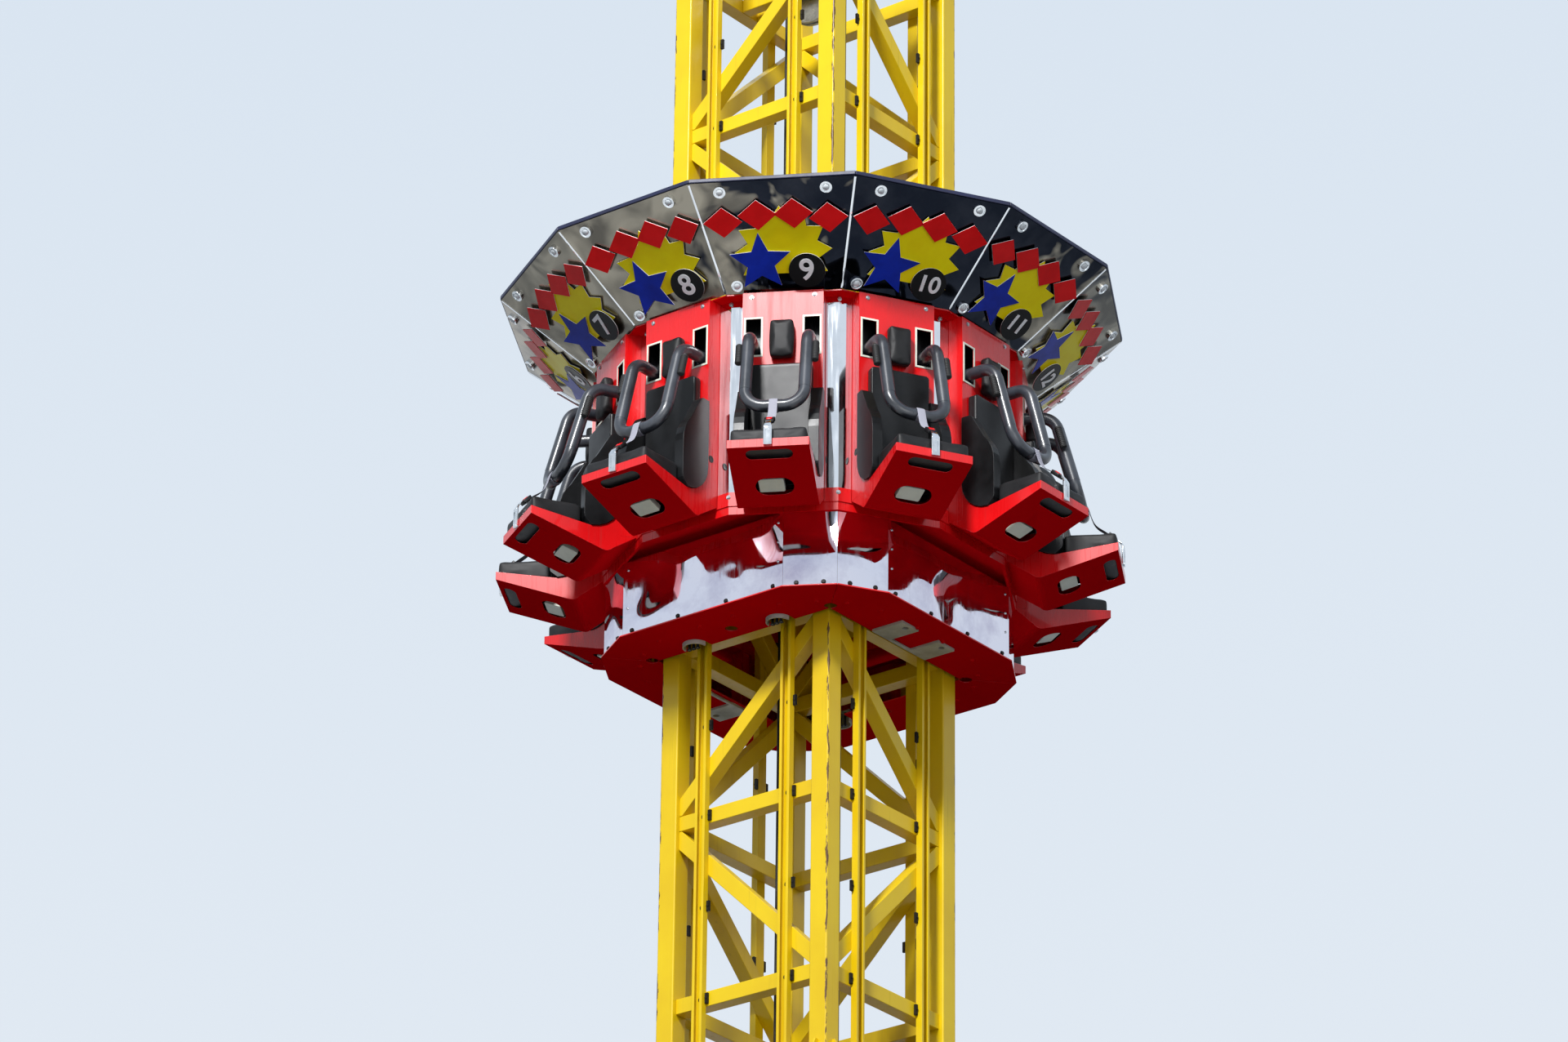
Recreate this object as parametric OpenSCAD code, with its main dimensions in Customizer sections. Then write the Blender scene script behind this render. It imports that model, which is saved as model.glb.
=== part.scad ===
// Drop tower ride: a square lattice tower and a ring-shaped gondola of twelve outward seats that slides on it.
// The origin is on the ground at the tower's centre, +Z is up, and the tower's sides face X and Y.
// A module for one side, wall panel or seat is built facing -Y and then turned to its place.

/* [Tower] */
// Width of the tower over its corner columns
tower_w = 1000; // [950:10:1100]
// Width of a square corner column
column_w = 100; // [100:5:115]
// Wall of a corner column
column_wall = 6; // [4:1:10]
// Height of one lattice bay
bay_h = 920; // [860:10:980]
// Number of bays
bay_count = 6; // [6:1:8]
// Height of the lowest horizontal bar's centre line
first_bar_z = 500; // [400:10:600]
// Height of the columns above the highest bar's centre line
column_top_h = 430; // [300:10:500]
// Width of a lattice bar
bar_w = 75; // [60:5:75]
// Wall of a lattice bar
bar_wall = 5; // [3:1:8]
// How far the bars sit back from the columns' outer faces
bar_recess = 25; // [15:1:25]
// Side of a foot plate
foot_w = 250; // [220:10:300]
// Thickness of a foot plate
foot_t = 25; // [16:1:35]
// Distance between the anchor holes of a foot plate
anchor_spacing = 190; // [170:5:200]
// Diameter of an anchor hole
anchor_d = 22; // [16:1:26]

/* [Guide rails] */
// Distance between the two rails of a side
rail_spacing = 500; // [400:10:600]
// Width of a rail
rail_w = 60; // [50:2:70]
// Depth of a rail
rail_depth = 35; // [30:1:38]
// Sheet thickness of a rail
rail_wall = 6; // [4:1:8]
// Width of a rail's open groove
rail_groove = 30; // [20:2:34]

/* [Hoist] */
// Diameter of the hoist rope
rope_d = 16; // [12:1:20]
// Pitch radius of the head sheave
sheave_r = 183; // [150:1:200]
// Width of the head sheave
sheave_w = 50; // [40:2:60]
// Diameter of the sheave's shaft
sheave_shaft_d = 40; // [30:2:50]

/* [Gondola body] */
// Height of the canopy's rim above the ground when the gondola stands as stored
gondola_z = 4155; // [3600:5:4500]
// Radius of the wall's corners
wall_r = 1000; // [980:5:1040]
// Height of the wall
wall_h = 1070; // [1040:5:1120]
// Thickness of a wall panel
wall_t = 6; // [4:1:8]
// Gap along the wall between a folded strip and the housing beside it
strip_gap = 1.819; // [1:0.001:6]
// Thickness of a folded strip
strip_t = 3; // [2:0.5:4]
// Height of the red band along the foot of the wall
band_h = 65; // [50:1:80]
// Thickness of the floor, deck and roof plates
deck_t = 6; // [4:1:8]
// Half the width of the square hole through the decks
deck_hole = 650; // [645:1:670]

/* [Canopy] */
// Radius of the canopy's corners at the rim
canopy_r = 1540; // [1450:5:1600]
// Radius of the canopy's corners at its foot
canopy_foot_r = 1067; // [1060:1:1200]
// Height of the rim above the wall's top
canopy_h = 373; // [340:1:400]
// Height of the canopy's foot above the deck
canopy_gap = 4; // [3:1:50]
// Thickness of a canopy panel
canopy_t = 4; // [2:0.5:6]
// Height of the rim bar
rim_h = 20; // [15:1:30]
// Width of the rim bar
rim_w = 45; // [35:1:60]
// Diameter of a canopy lamp
lamp_d = 60; // [40:2:70]
// How far a lamp stands out of its panel
lamp_h = 14; // [8:1:20]
// Distance down the slope from the rim to an upper lamp
upper_lamp_drop = 48; // [40:1:80]
// Distance from a seam to an upper lamp
upper_lamp_in = 143; // [60:1:250]
// Distance up the slope from the foot to a panel's lower lamp
lower_lamp_rise = 44; // [38:1:80]
// Distance from a seam to a panel's lower lamp
lower_lamp_in = 59; // [50:1:200]

/* [Skirt] */
// Height of the skirt under the wall
skirt_h = 427; // [400:1:460]
// Radius of the skirt's corners beside the tower's corners
skirt_r = 960; // [945:1:970]
// Radius of the skirt's corners at the tower's corners
skirt_corner_r = 990; // [985:1:994]
// Height of the floor's edge frame above the skirt
floor_frame_h = 42; // [30:1:60]
// Depth of the floor's edge frame
floor_frame_d = 14; // [8:1:15]
// Sheet thickness of the skirt
skirt_t = 3; // [2:0.5:4]
// Thickness of the red bottom plate
bottom_t = 8; // [6:1:12]
// How far the bottom plate reaches past the skirt
bottom_lip = 14; // [8:1:20]
// Gap between the bottom plate and the tower's columns
bottom_gap = 18; // [16:1:22]

/* [Guide frame] */
// Width of a guide frame tube
frame_w = 60; // [50:2:60]
// Distance from the tower's centre to a frame beam's inner face
frame_in = 630; // [625:1:635]
// Diameter of a guide wheel
wheel_d = 120; // [110:2:122]
// Width of a guide wheel
wheel_w = 40; // [30:1:44]
// Gap between a guide wheel and its column
wheel_gap = 0.5; // [0.3:0.1:1]
// Distance from a column's corner to the middle of a wheel's track
wheel_track = 26; // [24:1:32]

/* [Seats] */
// Width of the red housing behind a seat
housing_w = 386; // [370:2:388]
// Depth of the housing in front of the wall
housing_d = 85; // [80:1:90]
// Sheet thickness of the housing
housing_t = 4; // [3:0.5:5]
// Distance from the seat's middle to a harness arm and its slot
arm_offset = 140; // [138:1:140]
// Width of an arm slot
slot_w = 72; // [70:1:74]
// Height of an arm slot
slot_h = 190; // [190:2:210]
// Height of the slots' upper ends below the rim
slot_top_drop = 515; // [505:5:515]
// Border of a slot's frame
slot_border = 10; // [6:1:10]
// Width of the headrest
headrest_w = 120; // [110:2:140]
// Height of the headrest
headrest_h = 200; // [150:5:210]
// Height of the headrest's top below the rim
headrest_drop = 540; // [530:5:545]
// Width of the seat back between its wings
back_w = 300; // [280:2:300]
// Thickness of the seat back
back_t = 50; // [40:1:60]
// Height of the seat back's top below the rim
back_top_drop = 780; // [770:5:800]
// Depth of a side wing at the rider's hip
wing_d = 190; // [170:2:195]
// Thickness of a side wing
wing_t = 52; // [35:1:55]
// Height of a side wing's top below the rim
wing_top_drop = 915; // [900:5:950]
// Sheet thickness of the seat pan
pan_t = 4; // [3:0.5:5]
// Distance of the pan's front lip from the tower's centre
pan_tip_r = 1505; // [1480:5:1530]
// Height of the front lip's upper edge below the rim
pan_lip_drop = 1367; // [1360:1:1375]
// Height of the front lip
pan_lip_h = 41; // [30:1:45]
// Height of the pan's lowest point below the rim
pan_low_drop = 1533; // [1520:1:1540]
// Radius of the notch that the side wing sits in
notch_r = 150; // [140:1:160]
// Height of the notch's foot below the rim
notch_drop = 1415; // [1410:1:1425]
// Height of the cushion's top below the rim
cushion_drop = 1300; // [1290:1:1310]
// How far the cushion's nose reaches past the lip
cushion_overhang = 6; // [4:1:16]

/* [Harness] */
// Diameter of the padded harness tube
pad_d = 60; // [54:1:60]
// Diameter of the hinge shaft inside the housing
hinge_d = 30; // [25:1:34]
// Radial clearance of the hinge shaft in its bearings
hinge_gap = 0.3; // [0.2:0.1:0.5]
// Height of the hinge below the rim
hinge_drop = 665; // [660:1:668]
// Distance of the hinge from the tower's centre
hinge_r = 1000; // [999:1:1004]
// Length of an arm from the hinge to its shoulder bend
arm_l = 130; // [125:1:140]
// Radius of the shoulder bend
shoulder_r = 90; // [80:1:100]
// Angle of the shoulder bend
shoulder_a = 75; // [72:1:78]
// Length of the tube from the shoulder bend to the lower bend
chest_l = 290; // [280:1:310]
// Radius of the harness's lower bends
loop_r = 100; // [90:1:110]
// Diameter of a hand grip
grip_d = 30; // [24:1:36]
// Length of a hand grip
grip_l = 110; // [80:5:130]

/* [Hidden] */
$fn = 48;

seat_count = 12;
seat_step = 360 / seat_count;
// Seat 8 faces -Y, and the numbers run round the tower towards +X
front_seat = 8;
// Gaps left between neighbouring plates of one ring, between bars of one side, and under a plate that rests on a beam
seam = 1;
bar_seam = 2;
rest_gap = 0.3;

tower_half = tower_w / 2;
column_c = tower_half - column_w / 2;
clear_w = tower_w - 2 * column_w;
bar_face = tower_half - bar_recess;
bar_c = bar_face - bar_w / 2;
tower_top = first_bar_z + bay_count * bay_h + column_top_h;
base_beam_h = 75;
rail_end_gap = base_beam_h + 5;
sheave_z = first_bar_z + bay_count * bay_h;
sheave_rim_r = sheave_r + 6;
sheave_hub_r = 45;
sheave_side_gap = 5;
rope_beam_w = 60;

wall_a = wall_r * cos(seat_step / 2);
wall_half_side = wall_r * sin(seat_step / 2);
strip_w = wall_half_side - housing_w / 2 - strip_gap;
wall_top = gondola_z - canopy_h;
wall_bottom = wall_top - wall_h;
floor_z = wall_bottom - deck_t;
skirt_bottom = wall_bottom - skirt_h;
skirt_top = floor_z - floor_frame_h;
deck_top = wall_top + deck_t;
canopy_foot_z = deck_top + canopy_gap;
canopy_foot_a = canopy_foot_r * cos(seat_step / 2);
canopy_rim_a = canopy_r * cos(seat_step / 2);
canopy_top_a = canopy_rim_a - 8;
canopy_rise = gondola_z - canopy_foot_z;
canopy_slant = norm([canopy_top_a - canopy_foot_a, canopy_rise]);
canopy_tilt = atan2(canopy_top_a - canopy_foot_a, canopy_rise);
roof_a = canopy_top_a - 16;
rib_t = 5;
rib_depth = 110;
roof_z = gondola_z - deck_t - rest_gap;
frame_out = frame_in + frame_w;
frame_tops = [skirt_bottom + frame_w + rest_gap, floor_z - rest_gap, wall_top - rest_gap, roof_z - rest_gap];
post_x = 300;
wheel_levels = [1, 2];
wheel_axle_d = 20;
fork_gap = 4;
fork_t = 6;

plate_z = skirt_bottom - bottom_t;
plate_edge = tower_half + bottom_gap;
corner_hole_d = 60;
corner_hole_in = 17;
mid_hole_out = 88;
shoe_r = 62;
shoe_t = 7;
shoe_h = 60;
shoe_drop = 20;
shoe_out = 45;
shoe_pin_d = 12;
shoe_pin_l = 70;
shoe_pin_step = 25;
shoe_pin_out = 14;
brake_w = 130;
brake_l = 180;
brake_out = 12;
brake_offset = 142;
brake_drop = 12;
brake_bore_d = 30;
brake_strip_w = 18;
brake_strip_t = 10;

housing_a = wall_a + housing_d;
slot_top = gondola_z - slot_top_drop;
hinge_z = gondola_z - hinge_drop;
bearing_t = 14;
bearing_h = 60;
pan_lip_z = gondola_z - pan_lip_drop;
pan_tip_z = pan_lip_z - pan_lip_h;
pan_low_z = gondola_z - pan_low_drop;
pan_corner_r = 45;
pan_low_a = housing_a + 75;
notch_z = gondola_z - notch_drop;
cushion_top = gondola_z - cushion_drop;
cushion_low = pan_lip_z - 50;
fit_gap = 1;
pad_seam = 1;
pad_lap = 2;
latch_gap = 10;
shoulder_end_r = hinge_r + arm_l + shoulder_r * sin(shoulder_a);
shoulder_end_z = hinge_z - shoulder_r * (1 - cos(shoulder_a));
loop_end_r = shoulder_end_r + (chest_l + loop_r) * cos(shoulder_a);
loop_end_z = shoulder_end_z - (chest_l + loop_r) * sin(shoulder_a);

function polar(r, a) = [r * sin(a), -r * cos(a)];
function seat_angle(n) = (n - front_seat) * seat_step;
function level_z(i) = first_bar_z + i * bay_h;
// Thickness of the plate that lies on a level of the guide frame
function plate_over(i) = i == 0 ? 0 : deck_t + 2 * rest_gap;

// Turns its children to every seat or wall panel
module at_seats() {
    for (n = [1:seat_count]) rotate([0, 0, seat_angle(n)]) children();
}

// Turns its children to every corner of the wall
module at_wall_corners() {
    for (n = [1:seat_count]) rotate([0, 0, seat_angle(n) + seat_step / 2]) children();
}

// Turns its children to the four sides of the tower
module at_sides() {
    for (a = [0:90:270]) rotate([0, 0, a]) children();
}

module both_sides() {
    children();
    mirror([1, 0, 0]) children();
}

// Rectangle with round corners
module round_rect(w, h, r) {
    union() {
        square([w - 2 * r, h], center = true);
        square([w, h - 2 * r], center = true);
        for (x = [-1, 1], y = [-1, 1]) translate([x * (w / 2 - r), y * (h / 2 - r)]) circle(r);
    }
}

// Plate of a ring between two apothems, under one side of the twelve-sided plan
module side_wedge(inner, outer, t) {
    k = tan(seat_step / 2);
    linear_extrude(t)
        polygon([[-outer * k + seam / 2, -outer], [outer * k - seam / 2, -outer],
            [inner * k - seam / 2, -inner], [-inner * k + seam / 2, -inner]]);
}

// Plate of a ring from the tower's axis out to an apothem, under one corner of the twelve-sided plan
module corner_wedge(inner, outer, t) {
    h = seat_step / 2;
    left = polar(outer, -h) + [seam / 2, 0];
    right = polar(outer, h) - [seam / 2, 0];
    inner_left = polar(inner, -h) + [seam / 2, 0];
    inner_right = polar(inner, h) - [seam / 2, 0];
    linear_extrude(t)
        polygon([left, [0, -outer / cos(h)], right, inner_right, [0, -inner / cos(h)], inner_left]);
}

// Square hole through the decks, round the tower
module deck_cut(z, t) {
    translate([-deck_hole, -deck_hole, z - 1]) cube([2 * deck_hole, 2 * deck_hole, t + 2]);
}

module corner_columns() {
    color("gold")
        for (x = [-1, 1], y = [-1, 1]) translate([x * column_c, y * column_c, foot_t])
            difference() {
                linear_extrude(tower_top - foot_t) round_rect(column_w, column_w, 8);
                translate([0, 0, -1]) linear_extrude(tower_top - foot_t - column_wall + 1)
                    square(column_w - 2 * column_wall, center = true);
            }
}

module foot_plates() {
    color("goldenrod")
        for (x = [-1, 1], y = [-1, 1]) translate([x * column_c, y * column_c, 0])
            difference() {
                translate([-foot_w / 2, -foot_w / 2, 0]) cube([foot_w, foot_w, foot_t]);
                for (i = [-1, 1], j = [-1, 1])
                    translate([i * anchor_spacing / 2, j * anchor_spacing / 2, -1])
                        cylinder(d = anchor_d, h = foot_t + 2);
            }
}

// One side of the lattice: diagonals meet at the right-hand column on levels of this parity
module lattice_side(parity) {
    bore = bar_w - 2 * bar_wall;
    color("gold") {
        for (i = [0:bay_count])
            translate([0, -bar_c, level_z(i)]) difference() {
                cube([clear_w, bar_w, bar_w], center = true);
                cube([clear_w + 2, bore, bore], center = true);
            }
        for (i = [0:bay_count - 1]) {
            foot_side = i % 2 == parity ? 1 : -1;
            bay_clear = bay_h - bar_w - 2 * bar_seam;
            slope = atan2(bay_clear - bar_w, clear_w);
            translate([0, -bar_c, level_z(i) + bay_h / 2]) mirror([foot_side > 0 ? 0 : 1, 0, 0])
                rotate([90, 0, 0]) difference() {
                    linear_extrude(bar_w, center = true)
                        intersection() {
                            square([clear_w, bay_clear], center = true);
                            rotate([0, 0, -slope]) square([2 * bay_h, bar_w], center = true);
                        }
                    rotate([0, 0, -slope]) cube([2 * bay_h, bore, bore], center = true);
                }
        }
    }
}

module lattice_south() lattice_side(0);
module lattice_east() rotate([0, 0, 90]) lattice_side(1);
module lattice_north() rotate([0, 0, 180]) lattice_side(0);
module lattice_west() rotate([0, 0, 270]) lattice_side(1);

// Channel section of a rail, open to the outside
module rail_section() {
    difference() {
        translate([-rail_w / 2, -rail_depth]) square([rail_w, rail_depth]);
        translate([-rail_w / 2 + rail_wall, -rail_depth + rail_wall])
            square([rail_w - 2 * rail_wall, rail_depth - 2 * rail_wall]);
        translate([-rail_groove / 2, -rail_depth - 1]) square([rail_groove, rail_wall + 2]);
    }
}

module guide_rails() {
    color("gold")
        at_sides() both_sides()
            translate([rail_spacing / 2, -bar_face, rail_end_gap])
                linear_extrude(tower_top - 2 * rail_end_gap) rail_section();
}

// Ground beams between the foot plates
module base_beams() {
    span = 2 * column_c - foot_w;
    color("goldenrod")
        for (x = [-1, 1])
            translate([x * column_c - bar_w / 2, -span / 2, 0]) cube([bar_w, span, base_beam_h]);
}

// Two beams carry the head sheave, and one at the ground holds the rope's ends
module rope_beams() {
    head_span = 2 * (bar_c - bar_w / 2);
    foot_span = 2 * column_c - bar_w;
    color("goldenrod") {
        for (y = [-1, 1])
            translate([0, y * (sheave_w / 2 + sheave_side_gap + rope_beam_w / 2), sheave_z])
                difference() {
                    cube([head_span, rope_beam_w, bar_w], center = true);
                    rotate([90, 0, 0])
                        cylinder(d = sheave_shaft_d + 2 * hinge_gap, h = rope_beam_w + 2, center = true);
                }
        translate([-foot_span / 2, -rope_beam_w / 2, 0]) cube([foot_span, rope_beam_w, base_beam_h]);
    }
}

module head_sheave() {
    groove_r = rope_d / 2 + 0.5;
    shaft_l = sheave_w + 2 * sheave_side_gap + 2 * rope_beam_w + 10;
    color("gainsboro")
        translate([0, 0, sheave_z]) rotate([90, 0, 0]) {
            rotate_extrude($fn = 96)
                difference() {
                    union() {
                        translate([sheave_rim_r - 40, -sheave_w / 2]) square([40, sheave_w]);
                        translate([sheave_hub_r - 5, -8]) square([sheave_rim_r - sheave_hub_r - 30, 16]);
                        translate([0, -sheave_w / 2 - 3]) square([sheave_hub_r, sheave_w + 6]);
                    }
                    translate([sheave_r, 0]) circle(groove_r);
                    translate([sheave_r, -groove_r]) square(2 * groove_r);
                }
            cylinder(d = sheave_shaft_d, h = shaft_l, center = true);
        }
}

// The rope runs from the ground beam over the head sheave and back down
module hoist_rope() {
    color("black") {
        for (x = [-1, 1])
            translate([x * sheave_r, 0, base_beam_h]) cylinder(d = rope_d, h = sheave_z - base_beam_h);
        translate([0, 0, sheave_z]) rotate([90, 0, 0])
            rotate_extrude(angle = 180, $fn = 96) translate([sheave_r, 0]) circle(d = rope_d);
    }
}

// Square tubes of the gondola's guide frame: the south and north beams run past the others
module frame_beams_x() {
    color("red")
        for (top = frame_tops, y = [-1, 1])
            translate([0, y * (frame_in + frame_w / 2), top - frame_w / 2])
                cube([2 * frame_out, frame_w, frame_w], center = true);
}

module frame_beams_y() {
    color("red")
        for (top = frame_tops, x = [-1, 1])
            translate([x * (frame_in + frame_w / 2), 0, top - frame_w / 2])
                cube([frame_w, 2 * frame_in, frame_w], center = true);
}

module frame_posts() {
    color("red")
        for (i = [0:len(frame_tops) - 2])
            at_sides() both_sides()
                translate([post_x - frame_w / 2, -frame_out, frame_tops[i] + plate_over(i)])
                    cube([frame_w, frame_w, frame_tops[i + 1] - frame_tops[i] - frame_w - plate_over(i)]);
}

// Places its children at every guide wheel, with Z along the axle and -Y away from the column
module at_wheels() {
    for (i = wheel_levels)
        at_sides() both_sides()
            translate([tower_half - wheel_track, -tower_half - wheel_gap - wheel_d / 2,
                frame_tops[i] - frame_w / 2])
                rotate([0, 90, 0]) children();
}

module wheel_forks() {
    reach = frame_in - tower_half - wheel_gap - wheel_d / 2;
    span = wheel_w + 2 * fork_gap + 2 * fork_t;
    color("firebrick")
        at_wheels()
            difference() {
                translate([-frame_w / 2, -reach, -span / 2]) cube([frame_w, reach + 16, span]);
                translate([-frame_w / 2 - 1, -reach + fork_t, -span / 2 + fork_t])
                    cube([frame_w + 2, reach + 16, span - 2 * fork_t]);
                cylinder(d = wheel_axle_d + 2 * hinge_gap, h = span + 2, center = true);
            }
}

module guide_wheels() {
    span = wheel_w + 2 * fork_gap + 2 * fork_t;
    color("dimgray")
        at_wheels() {
            cylinder(d = wheel_d, h = wheel_w, center = true);
            cylinder(d = 44, h = wheel_w + 4, center = true);
            cylinder(d = wheel_axle_d, h = span + 6, center = true);
        }
}

// Half-round cup outside a rail of the south and north sides, with three pins that hang from it
module guide_shoe() {
    module half(r) intersection() {
        circle(r);
        translate([-r, -r]) square([2 * r, r]);
    }
    translate([rail_spacing / 2, -plate_edge - shoe_out, plate_z - shoe_drop]) {
        linear_extrude(shoe_h) difference() {
            half(shoe_r);
            half(shoe_r - shoe_t);
        }
        translate([0, 0, shoe_h]) linear_extrude(shoe_t) half(shoe_r);
        for (x = [-1, 0, 1])
            translate([x * shoe_pin_step, -shoe_pin_out, shoe_h - shoe_pin_l])
                cylinder(d = shoe_pin_d, h = shoe_pin_l + 2);
    }
}

module guide_shoes() {
    color("darkkhaki")
        for (a = [0, 180]) rotate([0, 0, a]) both_sides() guide_shoe();
}

// Outline of a brake block on the bottom plate
module brake_outline() {
    translate([brake_offset - brake_w / 2, -plate_edge - brake_out - brake_l]) square([brake_w, brake_l]);
}

// Two blocks let into the bottom plate on the east and west sides, and the strip between them
module brake_units() {
    color("darkkhaki")
        for (a = [90, 270]) rotate([0, 0, a]) translate([0, 0, plate_z - brake_drop]) {
            both_sides() linear_extrude(bottom_t + brake_drop) difference() {
                brake_outline();
                translate([brake_offset, -plate_edge - brake_out - brake_l + brake_bore_d])
                    circle(d = brake_bore_d);
            }
            translate([-brake_offset + brake_w / 2, -plate_edge - brake_out - brake_strip_w, 0])
                cube([2 * brake_offset - brake_w, brake_strip_w, brake_strip_t]);
        }
}

module wall_panels() {
    color("firebrick")
        at_seats() translate([0, 0, wall_bottom]) side_wedge(wall_a - wall_t, wall_a, wall_h);
}

// Angled strip round one corner of the wall
module corner_angle(inner, outer, w, h) {
    k = seat_step / 2;
    o = outer / cos(k);
    i = inner / cos(k);
    linear_extrude(h)
        polygon([[0, -o], [w * cos(k), -o + w * sin(k)], [w * cos(k), -i + w * sin(k)],
            [0, -i], [-w * cos(k), -i + w * sin(k)], [-w * cos(k), -o + w * sin(k)]]);
}

module corner_strips() {
    color("silver")
        at_wall_corners() translate([0, 0, wall_bottom + band_h])
            corner_angle(wall_a, wall_a + strip_t, strip_w, wall_h - band_h);
}

// Floor under the wall, with the red band turned up at its corners and the edge frame under it
module floor_plates() {
    color("maroon")
        at_wall_corners_cut(floor_z) {
            translate([0, 0, floor_z]) corner_wedge(deck_hole - 60, wall_a + strip_t + 2, deck_t);
            translate([0, 0, floor_z]) corner_angle(wall_a, wall_a + strip_t + 2, strip_w, deck_t + band_h);
            translate([0, 0, skirt_top]) corner_wedge(wall_a - floor_frame_d, wall_a, floor_frame_h + 1);
        }
}

// Children at every wall corner, with the deck's square hole cut out
module at_wall_corners_cut(z) {
    difference() {
        at_wall_corners() children();
        deck_cut(z, deck_t);
    }
}

// Flat sheet between two corners of the skirt
module skirt_sheet(r1, a1, r2, a2) {
    p1 = polar(r1, a1);
    p2 = polar(r2, a2);
    along = (p2 - p1) / norm(p2 - p1);
    inward = [-along[1], along[0]];
    a = p1 + along * seam / 2;
    b = p2 - along * seam / 2;
    shift = along * skirt_t;
    linear_extrude(skirt_top - skirt_bottom)
        polygon([a, b, b - shift + inward * skirt_t, a + shift + inward * skirt_t]);
}

module skirt_panels() {
    color("silver")
        at_sides() translate([0, 0, skirt_bottom]) {
            skirt_sheet(skirt_r, -30, skirt_r, 30);
            skirt_sheet(skirt_r, 30, skirt_corner_r, 45);
            skirt_sheet(skirt_corner_r, -45, skirt_r, -30);
        }
}

// One side of the bottom plate, between the tower's corners; its children are cut out of it
module plate_side() {
    k = bottom_lip;
    difference() {
        polygon([polar(skirt_corner_r + k, -45) + [seam, 0], polar(skirt_r + k, -30),
            polar(skirt_r + k, 30), polar(skirt_corner_r + k, 45) - [seam, 0],
            [plate_edge - seam, -plate_edge], [-plate_edge + seam, -plate_edge]]);
        for (x = [-1, 1])
            translate([x * (plate_edge + corner_hole_in), -plate_edge - corner_hole_in])
                circle(d = corner_hole_d);
        children();
    }
}

module bottom_plate() {
    color("red") translate([0, 0, plate_z]) linear_extrude(bottom_t) {
        for (a = [0, 180]) rotate([0, 0, a]) plate_side() {
            both_sides() translate([rail_spacing / 2, -plate_edge - shoe_out]) {
                circle(shoe_r);
                translate([-shoe_r, 0]) square([2 * shoe_r, shoe_r]);
            }
            translate([0, -plate_edge - mid_hole_out]) circle(d = corner_hole_d);
        }
        for (a = [90, 270]) rotate([0, 0, a]) plate_side() both_sides() brake_outline();
    }
}

module deck_plates() {
    color("red")
        at_wall_corners_cut(wall_top)
            translate([0, 0, wall_top]) corner_wedge(deck_hole - 60, canopy_foot_a, deck_t);
}

module roof_panels() {
    color("silver")
        at_wall_corners_cut(roof_z)
            translate([0, 0, roof_z]) corner_wedge(deck_hole - 60, roof_a, deck_t);
}

// Lays its children on a canopy panel: X along the panel, Y up its slope and Z out of it
module on_canopy() {
    at_seats() translate([0, -canopy_foot_a, canopy_foot_z]) rotate([90 + canopy_tilt, 0, 0]) children();
}

module canopy_panels() {
    k = tan(seat_step / 2);
    lower = canopy_foot_a * k - seam / 2;
    upper = canopy_top_a * k - seam / 2;
    color("silver")
        on_canopy() linear_extrude(canopy_t)
            polygon([[-lower, 0], [lower, 0], [upper, canopy_slant], [-upper, canopy_slant]]);
}

// Two lamps under the rim of each canopy panel and one at its foot, on the left as seen from outside
module canopy_lamps() {
    k = tan(seat_step / 2);
    upper_x = canopy_top_a * k - upper_lamp_in;
    lower_x = canopy_foot_a * k - lower_lamp_in;
    color("white")
        on_canopy() translate([0, 0, canopy_t]) {
            both_sides() translate([upper_x, canopy_slant - upper_lamp_drop, 0]) cylinder(d = lamp_d, h = lamp_h);
            translate([-lower_x, lower_lamp_rise, 0]) cylinder(d = lamp_d, h = lamp_h);
        }
}

module canopy_rim() {
    color("midnightblue")
        at_seats() translate([0, 0, gondola_z]) side_wedge(canopy_rim_a - rim_w, canopy_rim_a, rim_h);
}

// Radial rib behind each seam of the canopy, between the deck and the roof
module canopy_ribs() {
    k = cos(seat_step / 2);
    lean = (canopy_top_a - canopy_foot_a) / k / canopy_rise;
    foot = canopy_foot_r - 1;
    head = foot + lean * (roof_z - canopy_foot_z);
    color("firebrick")
        at_wall_corners() translate([rib_t / 2, 0, 0]) rotate([90, 0, -90])
            linear_extrude(rib_t)
                polygon([[foot, deck_top], [foot, canopy_foot_z], [head, roof_z], [head - rib_depth, roof_z],
                    [foot - rib_depth, canopy_foot_z], [foot - rib_depth, deck_top]]);
}

// Red housing behind one seat, with two arm slots and the harness's bearings inside
module seat_housing() {
    bearing_x = housing_w / 2 - housing_t - bearing_t;
    difference() {
        union() {
            difference() {
                translate([-housing_w / 2, -housing_a, wall_bottom]) cube([housing_w, housing_d, wall_h]);
                translate([-housing_w / 2 + housing_t, -housing_a + housing_t, wall_bottom + housing_t])
                    cube([housing_w - 2 * housing_t, housing_d, wall_h - 2 * housing_t]);
            }
            both_sides()
                translate([bearing_x, -hinge_r - bearing_h / 2 + 10, hinge_z - bearing_h / 2])
                    cube([bearing_t + 1, bearing_h - 20 + 8, bearing_h]);
        }
        both_sides() translate([arm_offset - slot_w / 2, -housing_a - 1, slot_top - slot_h])
            cube([slot_w, housing_t + 2, slot_h]);
        translate([0, -hinge_r, hinge_z]) rotate([0, 90, 0])
            cylinder(d = hinge_d + 2 * hinge_gap, h = housing_w - 2 * housing_t, center = true);
    }
}

module seat_housings() {
    color("red") at_seats() seat_housing();
}

module slot_frames() {
    color("ghostwhite")
        at_seats() both_sides() translate([arm_offset, -housing_a, slot_top - slot_h / 2]) rotate([90, 0, 0])
            linear_extrude(3) difference() {
                square([slot_w + 2 * slot_border, slot_h + 2 * slot_border], center = true);
                square([slot_w, slot_h], center = true);
            }
}

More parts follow.
